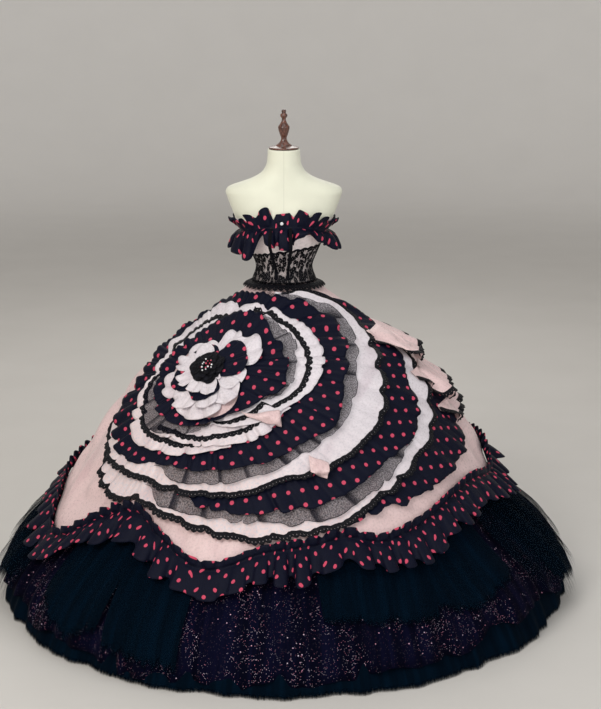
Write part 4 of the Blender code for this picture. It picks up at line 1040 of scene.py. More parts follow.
def glitter_material(name, colour):
    """Dark net with fine white and pink specks that catch the light and glow as painted glints, thicker in some
    streaks.
    """
    made, tree, shader = new_material(name, colour, 0.8, Specular_IOR_Level=0.02, Emission_Strength=0.24)
    point = object_point(tree)
    fine = use_group(tree, "glitter specks", {"Vector": point, "Speck": 0.0028, "Share": 0.15})
    large = use_group(tree, "glitter specks", {"Vector": point, "Speck": 0.0052, "Share": 0.012})
    streak = noise(tree, stretch(tree, point, 1.0, 1.0, 0.22), 11.0, 3.0, 0.6)
    patch = rise(tree, streak, 0.42, 0.60, 0.06, 0.80)
    mask = calc(tree, "MAXIMUM", times(tree, fine["Mask"], patch), large["Mask"])
    speck_and_glint = mix_colour(tree, rise(tree, fine["Chance"], 0.45, 0.75), (0.60, 0.50, 0.62, 1.0),
                       (0.62, 0.24, 0.36, 1.0))
    pull = noise(tree, stretch(tree, cloth_uv(tree), 1.0, 0.05, 1.0), 24.0, 3.0, 0.6)
    base = shade(tree, rise(tree, pull, 0.40, 0.68), colour, 2.2)
    wire(tree, shader, Base_Color=mix_colour(tree, mask, base, speck_and_glint))
    # Painted glints: the specks glow in their own colour by emission, whatever light falls on them.
    wire(tree, shader, Emission_Color=mix_colour(tree, mask, BLACK, speck_and_glint))
    wire(tree, shader, Roughness=rise(tree, mask, 0.0, 1.0, 0.8, 0.25))
    add_bump(tree, shader, plus(tree, mask, pull), 0.5, 0.0010)
    return made


def lace_material(name, colour, flower, net, wide, cover_share=0.0):
    """Black floral lace with a corded first edge, its holes see-through or as dense as its cover share."""
    made, tree, shader = new_material(name, colour, 0.6, Specular_IOR_Level=0.12)
    uv = stretch(tree, cloth_uv(tree), wide, 1.0, 1.0)
    lace = use_group(tree, "floral lace", {"Vector": uv, "Flower": flower, "Net": net})
    part = parts_of(tree, cloth_uv(tree, "span"))["Y"]
    bound = calc(tree, "MAXIMUM", rise(tree, part, 0.060, 0.040), cover_share)
    wire(tree, shader, Alpha=calc(tree, "MAXIMUM", lace["Thread"], bound))
    wire(tree, shader, Base_Color=mix_colour(tree, lace["Height"], opaque(colour, 2.5), opaque(colour)))
    add_bump(tree, shader, lace["Height"], 0.6, 0.0010)
    return made


def tape_material(name, colour):
    """Lace tape: thick scalloped edges, a row of small eyelets and ribs of thread, their raised parts painted lighter
    as a highlight.
    """
    made, tree, shader = new_material(name, colour, 0.5, Specular_IOR_Level=0.15)
    along = parts_of(tree, cloth_uv(tree))["X"]
    across = parts_of(tree, cloth_uv(tree, "span"))["Y"]
    step = minus(tree, calc(tree, "FRACT", calc(tree, "DIVIDE", along, 0.0105)), 0.5)
    aside = minus(tree, across, 0.60)
    away = plus(tree, times(tree, step, step), times(tree, aside, aside))
    hole = rise(tree, away, 0.004, 0.011)
    ribs = calc(tree, "SINE", times(tree, along, 2400.0))
    wire(tree, shader, Alpha=hole)
    relief_and_highlight = plus(tree, times(tree, ribs, 0.3), noise(tree, cloth_uv(tree), 400.0, 2.0))
    # Painted highlight: the raised ribs and threads are coloured lighter, over the same relief that the bump draws.
    wire(tree, shader, Base_Color=shade(tree, rise(tree, relief_and_highlight, 0.5, 1.0), colour, 3.0))
    add_bump(tree, shader, relief_and_highlight, 0.8, 0.0012)
    return made


def velvet_material(name, colour):
    """Velvet: near black with a soft nap."""
    made, tree, shader = new_material(
        name, colour, 0.9, Specular_IOR_Level=0.05, Sheen_Weight=0.05, Sheen_Roughness=0.35)
    nap = noise(tree, object_point(tree), 900.0, 2.0)
    wire(tree, shader, Base_Color=shade(tree, nap, colour, 2.0))
    add_bump(tree, shader, nap, 0.4, 0.0006)
    return made


def form_material(name, colour):
    """The form's smooth cotton cover: a fine weave, faint clouds and a seam line down its middle."""
    made, tree, shader = new_material(name, colour, 0.62, Sheen_Weight=0.2)
    point = object_point(tree)
    clouds = noise(tree, point, 9.0, 3.0)
    base = shade(tree, rise(tree, clouds, 0.35, 0.65), colour, 0.93)
    across = calc(tree, "ABSOLUTE", parts_of(tree, point)["X"])
    seam = rise(tree, across, 0.0014, 0.0004)
    wire(tree, shader, Base_Color=mix_colour(tree, times(tree, seam, 0.35), base, opaque(colour, 0.6)))
    fine = noise(tree, point, 1400.0, 2.0)
    add_bump(tree, shader, minus(tree, times(tree, fine, 0.3), seam), 0.35, 0.0008)
    return made


def wood_material(name, colour):
    """Dark varnished turned wood with rings along its grain."""
    made, tree, shader = new_material(name, colour, 0.22, Coat_Weight=0.6, Coat_Roughness=0.12)
    point = object_point(tree)
    grain = noise(tree, stretch(tree, point, 1.0, 1.0, 0.12), 160.0, 4.0, 0.6)
    wire(tree, shader, Base_Color=shade(tree, rise(tree, grain, 0.38, 0.68), colour, 3.2))
    wire(tree, shader, Roughness=rise(tree, grain, 0.3, 0.7, 0.18, 0.32))
    add_bump(tree, shader, grain, 0.15, 0.0006)
    return made


def metal_material(name, colour):
    """Black painted steel with a fine orange peel and worn patches."""
    made, tree, shader = new_material(name, colour, 0.42, Metallic=0.3)
    point = object_point(tree)
    peel = noise(tree, point, 420.0, 2.0)
    worn = rise(tree, noise(tree, point, 22.0, 4.0, 0.7), 0.62, 0.74)
    wire(tree, shader, Base_Color=shade(tree, worn, colour, 3.0))
    wire(tree, shader, Roughness=rise(tree, peel, 0.3, 0.7, 0.34, 0.50))
    add_bump(tree, shader, peel, 0.2, 0.0005)
    return made


def gem_material(name, colour):
    """A white stone with a bright coat and cloudy facets."""
    made, tree, shader = new_material(name, colour, 0.08, Coat_Weight=1.0, Coat_Roughness=0.03, IOR=1.8)
    cells = add_node(tree, "TexVoronoi", {"Vector": object_point(tree), "Scale": 500.0})
    tint = add_node(tree, "Attribute", attribute_name="tint").outputs["Fac"]
    base = shade(tree, cells.outputs["Distance"], colour, 0.6)
    wire(tree, shader, Base_Color=mix_colour(tree, tint, base, (0.55, 0.03, 0.08, 1.0)))
    return made


def stage_material(name):
    """Pale matte floor with a faint grain, that glows softly where it rises far from the gown."""
    made, tree, shader = new_material(name, (0.60, 0.58, 0.55), 0.9, Emission_Strength=1.0)
    made.cycles.emission_sampling = "NONE"
    away = stretch(tree, object_point(tree), 1.0, 1.0, 0.0)
    glow = mix_colour(tree, rise(tree, length_of(tree, away), 4.0, 12.0), BLACK, (0.21, 0.205, 0.20, 1.0))
    wire(tree, shader, Emission_Color=glow)
    grain = noise(tree, object_point(tree), 3.0, 4.0)
    wire(tree, shader, Base_Color=mix_colour(tree, grain, (0.58, 0.56, 0.53, 1.0), (0.63, 0.61, 0.58, 1.0)))
    return made


def get_material(name):
    """A finish by its name, built from the settings when first asked for."""
    found = bpy.data.materials.get(name)
    if found:
        return found
    gown = bpy.context.scene.gown
    dot = (gown.dot_spacing, gown.dot_radius)
    satin, low_satin = tuple(gown.satin_colour), tuple(gown.satin_low_colour)
    pink, teal, thread = tuple(gown.pink_colour), tuple(gown.teal_colour), tuple(gown.lace_colour)
    net = tuple(gown.net_colour)
    makers = {
        "gown_satin": lambda: satin_material(name, satin, low_satin, 0.36),
        "gown_pink_satin": lambda: satin_material(name, pink, pink, 0.36),
        # The bodice's satin is a paler copy, painted lighter to offset the shade that the lace and the ruffle cast
        # over it.
        "gown_bodice_satin": lambda: satin_material(name, (0.90, 0.80, 0.79), (0.90, 0.80, 0.79), 0.36),
        "gown_dotted": lambda: dotted_material(name, tuple(gown.navy_colour), tuple(gown.dot_colour), *dot),
        "gown_rose_tulle": lambda: tulle_material(name, net, 210.0, 0.18, 0.47, bound=True),
        "gown_dark_tulle": lambda: tulle_material(name, teal, 500.0, 1.0, 1.0, 0.030),
        "gown_panel_tulle": lambda: tulle_material(name, teal, 500.0, 0.85, 1.0, 0.10),
        "gown_veil_tulle": lambda: tulle_material(name, teal, 500.0, 0.34, 0.62, 0.40),
        "gown_glitter": lambda: glitter_material(name, tuple(gown.glitter_colour)),
        "gown_lace": lambda: lace_material(name, thread, 0.022, 0.0052, 1.9),
        "gown_heart_lace": lambda: lace_material(name, thread, 0.014, 0.0022, 1.0, 0.95),
        "gown_tape": lambda: tape_material(name, thread),
        "gown_velvet": lambda: velvet_material(name, (0.0035, 0.0035, 0.005)),
        "form_cotton": lambda: form_material(name, tuple(gown.form_colour)),
        "form_wood": lambda: wood_material(name, tuple(gown.wood_colour)),
        "form_steel": lambda: metal_material(name, (0.02, 0.02, 0.022)),
        "gown_stone": lambda: gem_material(name, (0.92, 0.92, 0.95)),
        "stage_pale": lambda: stage_material(name),
    }
    return makers[name]()


COLOUR = {"size": 3, "min": 0.0, "max": 1.0, "subtype": "COLOR"}
LENGTH = {"subtype": "DISTANCE", "unit": "LENGTH"}


class GownSettings(bpy.types.PropertyGroup):
    """Sizes and colours of the gown."""

    dot_spacing: bpy.props.FloatProperty(
        name="Dot spacing", description="Side of the square that two sets of dots share",
        default=0.064, min=0.01, max=0.2, **LENGTH)
    dot_radius: bpy.props.FloatProperty(
        name="Dot radius", description="Radius of a printed dot",
        default=0.0067, min=0.001, max=0.05, **LENGTH)
    rose_lift: bpy.props.FloatProperty(
        name="Tier lift", description="How far each tier of the rose stands off what it lies on, at its hem",
        default=0.0150, min=0.002, max=0.05, **LENGTH)
    flute_depth: bpy.props.FloatProperty(
        name="Flute depth", description="Half the depth of the dotted tiers' flutes at their hem",
        default=0.0105, min=0.0, max=0.03, **LENGTH)
    tape_scallop: bpy.props.FloatProperty(
        name="Tape scallop", description="Width of one scallop of the lace tape",
        default=0.021, min=0.005, max=0.1, **LENGTH)
    satin_colour: bpy.props.FloatVectorProperty(
        name="Satin", description="The rose's satin, high on the skirt", default=(0.70, 0.65, 0.69), **COLOUR)
    satin_low_colour: bpy.props.FloatVectorProperty(
        name="Low satin", description="The rose's satin, low on the skirt",
        default=(0.73, 0.59, 0.585), **COLOUR)
    pink_colour: bpy.props.FloatVectorProperty(
        name="Pink satin", description="Satin of the overskirt, the turnbacks and the flank",
        default=(0.74, 0.55, 0.545), **COLOUR)
    navy_colour: bpy.props.FloatVectorProperty(
        name="Dotted cloth", description="Ground of the dotted cloth",
        default=(0.0022, 0.0030, 0.0105), **COLOUR)
    dot_colour: bpy.props.FloatVectorProperty(
        name="Dots", description="The printed dots", default=(0.50, 0.062, 0.112), **COLOUR)
    net_colour: bpy.props.FloatVectorProperty(
        name="Rose tulle", description="The rose's black net", default=(0.010, 0.010, 0.016), **COLOUR)
    teal_colour: bpy.props.FloatVectorProperty(
        name="Skirt tulle", description="The underskirts' dark net",
        default=(0.0003, 0.0030, 0.0072), **COLOUR)
    glitter_colour: bpy.props.FloatVectorProperty(
        name="Glitter tulle", description="Ground of the glitter net",
        default=(0.0012, 0.0013, 0.0060), **COLOUR)
    lace_colour: bpy.props.FloatVectorProperty(
        name="Lace", description="Black lace thread", default=(0.0035, 0.0035, 0.0055), **COLOUR)
    form_colour: bpy.props.FloatVectorProperty(
        name="Form", description="The form's cotton cover", default=(0.745, 0.75, 0.615), **COLOUR)
    wood_colour: bpy.props.FloatVectorProperty(
        name="Cap", description="The neck cap's wood", default=(0.050, 0.016, 0.009), **COLOUR)


def revolve(name, profile, z, steps, finish):
    """A turned piece: its (radius, height) profile swept round Z, with a single point at each pole."""
    profile = np.asarray(profile, float)
    inner = profile[1:-1]
    angles = around(steps, 0.0)
    rings = np.stack([inner[:, :1] * np.cos(angles), inner[:, :1] * np.sin(angles),
                      np.broadcast_to(inner[:, 1:], (len(inner), steps)) + z], axis=-1)
    ends = [[[0, 0, row[1] + z]] for row in (profile[0], profile[-1])]
    points = np.concatenate([ends[0], rings.reshape(-1, 3), ends[1]])
    c = np.arange(steps)
    beside = (c + 1) % steps
    r = np.arange(len(inner) - 1)[:, None] * steps + 1
    sides = np.stack([r + c, r + steps + c, r + steps + beside, r + beside], -1).reshape(-1, 4).tolist()
    last = len(points) - 1
    top = np.stack([np.zeros(steps, int), 1 + c, 1 + beside], -1).tolist()
    bottom = np.stack([np.full(steps, last), last - steps + beside, last - steps + c], -1).tolist()
    return make_mesh(name, points, top + sides + bottom, finish)


def rounded(profile, rounds):
    """A profile with its corners cut: each corner gives way to points a fifth along its two sides."""
    points = np.asarray(profile, float)
    for _ in range(rounds):
        near = 0.8 * points[:-1] + 0.2 * points[1:]
        far = 0.2 * points[:-1] + 0.8 * points[1:]
        middle = np.stack([near, far], axis=1).reshape(-1, 2)
        points = np.concatenate([points[:1], middle[1:-1], points[-1:]])
    return points


class GOWN_OT_form(bpy.types.Operator):
    """The form's torso with its middle seam, its turned cap and its stand"""
    bl_idname = "gown.form"
    bl_label = "Dress form"

    def execute(self, context):
        """The torso's rings, with a bell-shaped groove down its middle, and three turned profiles."""
        azimuths = around(120)
        heights = np.concatenate([np.linspace(TORSO_TOP_Z, 1.30, 36), np.linspace(1.296, TORSO[0][0], 40)])
        down, across = grid_of(heights, azimuths)
        seam = -0.0006 * np.exp(-(np.sin(across) / 0.03) ** 2) * ramp(1.10, 1.20, down)
        grid = torso_at(across, down, seam)
        faces = capped_faces(*grid.shape[:2])
        whole = make_mesh("form_torso_padded", grid.reshape(-1, 3), faces, "form_cotton")
        for flat in (len(faces) - 2, len(faces) - 1):
            whole.data.polygons[flat].use_smooth = False
        place(whole, "form_cloth", "form_torso")
        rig.padded(whole, fill=1.0)
        cap = revolve("neck_cap_turned", rounded(CAP_PROFILE, 2), CAP_Z, 64, "form_wood")
        place(cap, "turned_wood", "neck_cap_finial")
        disc = revolve("stand_base_turned", DISC_PROFILE, 0.0, 96, "form_steel")
        place(disc, "painted_metal", "stand_base_disc")
        length = TORSO[0][0] - DISC_TOP_Z - 2 * SEAM_GAP
        rim = POLE_RADIUS - POLE_BEVEL_IN
        tube = [(0.0, length), (rim, length), (POLE_RADIUS, length - POLE_BEVEL_UP),
                (POLE_RADIUS, POLE_BEVEL_UP), (rim, 0.0), (0.0, 0.0)]
        pole = revolve("stand_pole_tube", tube, DISC_TOP_Z + SEAM_GAP, 48, "form_steel")
        place(pole, "painted_metal", "stand_pole")
        return {"FINISHED"}


class GOWN_OT_bodice(bpy.types.Operator):
    """The satin bodice in a front and two backs, with soft draped creases over the bust"""
    bl_idname = "gown.bodice"
    bl_label = "Bodice"

    def execute(self, context):
        """Each panel lies on the torso, moved out by pleats over azimuth and height above the bust."""
        for node, start, end in BODICE:
            azimuths = np.radians(np.linspace(start + 0.12, end - 0.12, int(end - start) // 2))
            down, across = grid_of(np.linspace(BODICE_TOP_Z, WAIST_SEAM_Z + SEAM_GAP, 32), azimuths)
            crease = pleat(26 * across + 2.0 * drift(across, 5) + 30.0 * down) * ramp(1.14, 1.19, down)
            grid = torso_at(across, down, 0.0004 + 0.0003 * (crease + 1.0))
            sew(node + "_satin", grid, "gown_bodice_satin", "satin", node, ["form_torso"], "stretched",
                thick=0.0005)
        return {"FINISHED"}


class GOWN_OT_cincher(bpy.types.Operator):
    """The gathered lace cincher, scalloped along its top, and the lace trim along its lower edge"""
    bl_idname = "gown.cincher"
    bl_label = "Lace cincher"

    def execute(self, context):
        """Net rows run from a |sin| scallop to the waist, where a smooth step moves them out, with pleats.

        The trim's rows run down to a |sin| scallop and lift by their share.
        """
        for node, start, end in (("cincher_front", -90.0, 90.0), ("cincher_back", 90.0, 270.0)):
            azimuths = np.radians(np.linspace(start + 0.15, end - 0.15, 220))
            scallop = 0.0045 * np.abs(np.sin(14 * azimuths))
            top = CINCHER_TOP_Z - 0.004 + scallop + 0.019 * np.sin(azimuths + 0.25)
            phase = 58 * azimuths + 1.6 * drift(azimuths, 8)
            rows = []
            for share in np.linspace(0.0, 1.0, 18):
                heights = top + (WAIST_SEAM_Z - top) * share
                stand = 0.0018 + 0.0110 * ramp(1.085, WAIST_SEAM_Z, heights)
                rows.append(torso_at(azimuths, heights, stand + 0.0005 * (pleat(phase + 2.5 * share) + 1.0)))
            for z, stand in CINCHER_SKIRT:
                vectors = direction(azimuths, np.full(azimuths.shape, dome_elevation(z)))
                rows.append(on_dome(vectors, stand + 0.0004 * (pleat(phase + 2.5) + 1.0)))
            grid = np.stack(rows)
            sew(node + "_net", grid, "gown_lace", "lace", node, [panel for panel, _, _ in BODICE], thick=NET)
        azimuths = around(504)
        scallop = np.abs(np.sin(21 * azimuths))
        rows = []
        for share in np.linspace(0.0, 1.0, 6):
            heights = 1.0215 - share * (0.0140 + 0.0060 * scallop)
            lift = 0.0100 + 0.0045 * share + 0.0012 * np.cos(42 * azimuths) * share
            rows.append(on_dome(direction(azimuths, dome_elevation(heights)), lift))
        grid = np.stack(rows)
        sew("cincher_scallop_lace", grid, "gown_tape", "lace", "cincher_hem_lace", ["satin_overskirt"],
            "laid", closed=True)
        return {"FINISHED"}


def neck_rows(azimuths, count, fullest=False):
    """Shifts, heights and stands of the neckline ruffle, row by row: frill, gathering line, flounce.

    Looped folds leave the gathering line both ways and grow as share^0.6. The frill dips at the knot
    and rolls over at the sides; the flounce swells by a half sine and then hangs plumb. Fullest
    gives the ridges' own line.
    """
    sideways = np.sin(azimuths) ** 2
    hem = smooth_round(NECK_HEM, np.degrees(azimuths))
    dip = np.exp(-((np.degrees(azimuths) + 2.5) / 7.0) ** 2)
    line = NECK_GATHER_Z - 0.026 * sideways
    frill = 0.052 - 0.020 * dip - 0.018 * sideways
    phase, size, side = gathers(azimuths, NECK_FOLDS, 21, 0.5, 1.5)
    top_phase, top_size, top_side = gathers(azimuths, NECK_FOLDS + 4, 26, 0.38, 1.6)
    bulge = 1.1 if fullest else size * np.cos(phase)
    top_bulge = (1.0 if fullest else top_size * np.cos(top_phase)) * (1.0 - 0.85 * dip)
    top_bulge = top_bulge * (1.0 - 0.50 * sideways)
    top_lobe = 0.0 if fullest else 0.38 * top_size * lobes(top_phase)
    sway = 0.05 * drift(azimuths, 29, (4, 7, 11))
    rows = []
    header = max(4, count // 4)
    for share in np.linspace(1.0, 0.0, header, endpoint=False):
        rolled = share + sideways * (math.sin(2.45 * share) - share)
        heights = line + frill * rolled * (1.0 + top_lobe * share)
        curl = share ** 0.7 - 0.35 * max(0.0, share - 0.55) * (1.0 - sideways)
        stand = NECK_SEAT + 0.017 * curl * (1.0 - 0.7 * dip) + 0.0115 * share ** 0.6 * top_bulge
        rows.append(((top_side + 0.6 * sway) * share ** 0.6, heights, np.maximum(stand, NECK_SEAT)))
    for share in np.linspace(0.0, 1.0, count - header):
        heights = line + (hem - line) * share - 0.007 * share ** 2 * (0.0 if fullest else size * lobes(phase))
        plumb = 0.44 * (1.180 - hem) * ramp(0.45, 1.0, share)
        belly = (0.026 + 0.012 * sideways) * np.sin(np.pi / 2 * min(1.0, share / 0.62)) ** 0.8
        stand = NECK_SEAT + belly + plumb + 0.0160 * share ** 0.6 * bulge
        rows.append(((side + sway * share) * share ** 0.6, heights, np.maximum(stand, NECK_SEAT)))
    return rows


class GOWN_OT_neckline(bpy.types.Operator):
    """The dotted ruffle gathered round the neckline, with its ribbon tails, knot and stone"""
    bl_idname = "gown.neckline"
    bl_label = "Neckline ruffle"

    def execute(self, context):
        """The ruffle's rows lie on the torso, shifted round it by their folds."""
        azimuths = around(800)
        rows = neck_rows(azimuths, 28)
        grid = np.stack([torso_at(azimuths + side, heights, stands) for side, heights, stands in rows])
        ruffle = make_cloth("neckline_ruffle_cloth", grid, "gown_dotted", closed=True)
        place(ruffle, "dotted", "neckline_ruffle")
        trims = []
        for node, column in (("ribbon_tail_left", -2), ("ribbon_tail_right", 1)):
            trims.append(self.ribbon_tail(node, column))
        trims += self.knot_and_stone()
        declare(ruffle, grid, True, "gathered", ["bodice_front"], trims)
        return {"FINISHED"}

    @staticmethod
    def ribbon_tail(node, column):
        """A strip, arched by 1 - s^2 across, on a path down the ruffle's ridge and on to the cincher.

        The path is read off at even steps and smoothed by six rounds of 1-2-1 averages.
        """
        azimuth = np.radians([column * 360.0 / 56])
        path = [torso_at(azimuth, h, s + 0.0022)[0] for _, h, s in neck_rows(azimuth, 30, True)[7:]]
        for z, stand in TAIL_HANG:
            path.append(torso_at(azimuth, np.array([z]), stand)[0])
        path = np.array(path)
        run = lengths(path[None], 1)[0]
        at = np.linspace(0.0, run[-1], 70)
        line = np.stack([np.interp(at, run, path[:, i]) for i in range(3)], axis=-1)
        for _ in range(6):
            line[1:-1] = 0.25 * line[:-2] + 0.5 * line[1:-1] + 0.25 * line[2:]
        side = np.linspace(-1.0, 1.0, 9)
        strip = line[:, None, :] + side[None, :, None] * np.array([TAIL_HALF, 0.0, 0.0])
        strip[..., 1] -= 0.0008 * (1.0 - side ** 2)[None, :]
        tail = make_cloth(node + "_velvet", strip, "gown_velvet", thick=TAIL_THICK)
        return place(tail, "velvet", node)

    def knot_and_stone(self):
        """The knot as a ball with a waist of folds, and the faceted stone."""
        x, z = KNOT_PLACE
        front = torso_at(np.zeros(1), np.array([z]), KNOT_OUT)[0, 1]
        down, across = grid_of(np.linspace(0.06, np.pi - 0.06, 24), around(40, 0.0))
        swell = 1.0 + 0.07 * np.cos(5 * across + 3 * down)
        knot_grid = np.stack([x + KNOT_HALF[0] * swell * np.sin(down) * np.cos(across),
                              front + KNOT_HALF[1] * swell * np.sin(down) * np.sin(across),
                              z + KNOT_HALF[2] * np.cos(down) + 0.0 * across], axis=-1)
        knot = self.ball("ribbon_knot_velvet", knot_grid, "gown_velvet")
        place(knot, "velvet", "ribbon_knot")
        y = front - 0.5 * (2.0 * KNOT_HALF[1] + STONE_RADIUS) - SEAM_GAP
        down, across = grid_of(np.linspace(0.05, np.pi - 0.05, 9), around(12, 0.0))
        stone_grid = np.stack([x + STONE_RADIUS * np.sin(down) * np.cos(across),
                               y + 0.5 * STONE_RADIUS * np.cos(down) + 0.0 * across,
                               z - STONE_RADIUS * np.sin(down) * np.sin(across)], axis=-1)
        stone = self.ball("neckline_stone", stone_grid, "gown_stone")
        stone.data.polygons.foreach_set("use_smooth", np.zeros(len(stone.data.polygons), bool))
        place(stone, "gem", "neckline_gem")
        return [knot, stone]

    @staticmethod
    def ball(name, grid, finish):
        """A closed ball from rings of points, each pole closed by one face."""
        faces = capped_faces(*grid.shape[:2])
        return make_mesh(name, grid.reshape(-1, 3), faces, finish)


def tulle_fold(azimuths, heights):
    """Depth of the tulle's shared wide folds, which deepen toward the hem."""
    warped = azimuths + 0.04 * np.sin(3 * azimuths + 1.0) + 0.015 * np.sin(7 * azimuths)
    fold = TULLE_FOLD_DEPTH * (0.5 + 0.5 * np.cos(TULLE_FOLDS * warped))
    return fold * ramp(TULLE_CLEAR_Z, TULLE_FULL_Z, heights)


def tulle_points(layer, azimuths, heights, out=0.0):
    """Points of one tulle layer: the satin profile less the layer's inset, with the shared folds."""
    low = ramp(TULLE_CLEAR_Z, TULLE_FULL_Z, heights)
    inset = layer.inset_high + (layer.inset_low - layer.inset_high) * low
    inset = inset + (layer.seat - inset) * ramp(layer.top_z - 0.10, layer.top_z, heights)
    radius = np.interp(np.maximum(heights, 0.006), PROFILE_Z, PROFILE_R) - inset
    radius = radius + tulle_fold(azimuths, heights) + out
    return squash(np.stack([radius * np.sin(azimuths), -radius * np.cos(azimuths), heights], axis=-1))


def flap_grid(flap, number):
    """A tulle flap: its sides slant from their top azimuths to their low ones, its hem from its corners."""
    round_share = np.linspace(0.0, 1.0, max(60, int(1.9 * (flap.top_end - flap.top_start))))
    corners, heights = zip(*flap.hem)
    hem = np.interp(round_share, corners, heights)
    hem = hem + 0.005 * drift(round_share, 40 + number, (19, 29, 47))
    rows = []
    for share in np.linspace(0.0, 1.0, 18):
        start = flap.top_start + (flap.low_start - flap.top_start) * share
        end = flap.top_end + (flap.low_end - flap.top_end) * share
        azimuths = np.radians(start + (end - start) * round_share)
        down = PANEL.top_z + (hem - PANEL.top_z) * share
        span = np.radians(flap.top_end - flap.top_start) * round_share
        folds = 0.0065 * drift(span + 0.03 * share, 50 + number, (11, 19, 31, 46))
        rows.append(tulle_points(PANEL, azimuths, down, (folds + flap.out) * ramp(0.42, 0.16, down)))
    return np.stack(rows)


class GOWN_OT_tulle(bpy.types.Operator):
    """The petticoat, the glitter skirt, the plain tulle panels and thin ragged veils over them"""
    bl_idname = "gown.tulle"
    bl_label = "Tulle skirts"

    def execute(self, context):
        """Rings at falling heights with fine drifting folds, and flaps of the same surface."""
        azimuths = around(900)
        high = np.linspace(PETTICOAT.top_z, 0.42, 7)
        low = np.linspace(TULLE_CLEAR_Z, 0.0004, 14)
        down, across = grid_of(np.concatenate([high, low]), azimuths)
        fine = 0.0055 * drift(across, 31, (31, 44, 59, 76)) * ramp(0.42, 0.06, down)
        spill = 0.035 * ramp(0.09, 0.0, down) * np.maximum(np.cos(across), 0.0)
        grid = tulle_points(PETTICOAT, across, down, fine - 0.005 * ramp(0.42, 0.06, down) + spill)
        sew("tulle_petticoat_net", grid, "gown_dark_tulle", "dark_tulle", "tulle_petticoat", ["form_torso"],
            closed=True, outward=False)

        hem = smooth_round(GLITTER_HEM, np.degrees(azimuths)) + 0.012 * drift(azimuths, 33, (11, 17, 23, 31))
        shares = np.linspace(0.0, 1.0, 18)[:, None]
        down = GLITTER.top_z + (hem - GLITTER.top_z) * shares
        across = np.broadcast_to(azimuths, down.shape)
        fine = 0.0075 * drift(across, 34, (23, 31, 46, 67, 90)) * ramp(0.42, 0.10, down)
        grid = tulle_points(GLITTER, across, down, fine)
        sew("glitter_tulle_net", grid, "gown_glitter", "glitter_tulle", "glitter_tulle_skirt",
            ["tulle_petticoat"], closed=True, outward=False)

        number = 0
        for finish, panels in (("gown_panel_tulle", TULLE_PANELS), ("gown_veil_tulle", TULLE_VEILS)):
            for node, flaps in panels.items():
                grids = [flap_grid(flap, number + i) for i, flap in enumerate(flaps)]
                piece = join_grids(node + "_net", grids, finish)
                place(piece, "dark_tulle", *([node] if panels is TULLE_PANELS else []))
                declare_joined(piece, grids, [], ["glitter_tulle_skirt"])
                number += len(flaps)
        return {"FINISHED"}


class GOWN_OT_overskirt(bpy.types.Operator):
    """The pale pink satin overskirt, gathered at the waist and caught up in swags at its hem"""
    bl_idname = "gown.overskirt"
    bl_label = "Satin overskirt"

    def execute(self, context):
        """Rows by share^0.8 down to the hem: pleats at the seam, then drapes, sweeps and placed creases.

        Drapes and sweeps grow by a smooth step on the way down, and the ruffle's seam holds all of them flat.
        """
        azimuths = around(480)
        hem = smooth_round(SATIN_HEM, np.degrees(azimuths)) + RUFFLE_LINE_UP
        top = dome_elevation(WAIST_SEAM_Z - SEAM_GAP)
        bottom = dome_elevation(hem)
        rows = []
        for share in np.linspace(0.0, 1.0, 46) ** 0.8:
            elevation = top + (bottom - top) * share
            vectors = direction(azimuths, elevation)
            degrees = np.degrees(elevation)
            seam = 0.0016 * pleat(46 * azimuths + 2.5 * drift(azimuths, 61)) * ramp(50.0, 66.0, degrees)
            drape = 0.0085 * pleat(23 * azimuths + 2.2 * drift(azimuths, 62, (2, 3, 4)) + 0.05 * degrees, 1.6)
            sweep = 0.0085 * drift(azimuths + 0.020 * degrees, 63, (7, 12, 17, 23))
            out = beside_rose(vectors) * (seam + (drape + sweep) * ramp(56.0, 24.0, degrees))
            out = out + satin_creases(vectors) * beside_rose(vectors, 0.5, 4.0)
            sewn = 1.0 - 0.85 * ramp(0.90, 1.0, share)
            rows.append(on_dome(vectors, out * sewn))
        grid = np.stack(rows)
        sew("satin_overskirt_cloth", grid, "gown_pink_satin", "satin", "satin_overskirt", ["tulle_petticoat"],
            closed=True, outward=False)
        return {"FINISHED"}


class GOWN_OT_hem_ruffle(bpy.types.Operator):
    """The dotted ruffle along the overskirt's hem: a frilled header, its gathering line and a flounce"""
    bl_idname = "gown.hem_ruffle"
    bl_label = "Hem ruffle"

    def execute(self, context):
        """Rows by share: the frill stands off by share^0.6, the flounce by share^0.55, in looped folds."""
        azimuths = around(1400)
        line = smooth_round(SATIN_HEM, np.degrees(azimuths)) + RUFFLE_LINE_UP
        phase, size, side = gathers(azimuths, 66, 71, 0.42, 2.2, RUFFLE_WAVES)
        top_phase, top_size, top_side = gathers(azimuths, 92, 81, 0.30, 2.2, RUFFLE_WAVES)
        rows = []
        for share in np.linspace(1.0, 0.0, 5, endpoint=False):
            bulge = top_size * np.cos(top_phase)
            heights = line + RUFFLE_FRILL * share * (0.92 + 0.26 * share * top_size * lobes(top_phase))
            out = 0.003 + 0.020 * share ** 0.6 + 0.0115 * share ** 0.6 * bulge
            rows.append(self.points(azimuths + top_side * share ** 0.6, heights, out))
        for share in np.linspace(0.0, 1.0, 13):
            bulge = size * np.cos(phase + 0.4 * share)
            drop = RUFFLE_FALL * (1.0 + 0.14 * drift(azimuths, 73, (9, 14, 22)))
            drop = drop * (1.0 + 0.10 * size * lobes(phase))
            out = 0.002 + 0.024 * share ** 0.55 + 0.0175 * bulge * share ** 0.6
            rows.append(self.points(azimuths + side * share ** 0.6, line - drop * share, out))
        grid = np.stack(rows)
        sew("hem_ruffle_cloth", grid, "gown_dotted", "dotted", "hem_ruffle", ["satin_overskirt"], closed=True)
        return {"FINISHED"}

    @staticmethod
    def points(azimuths, heights, out):
        """Points over the satin surface at given heights, moved out."""
        return on_dome(direction(azimuths, dome_elevation(heights)), out)


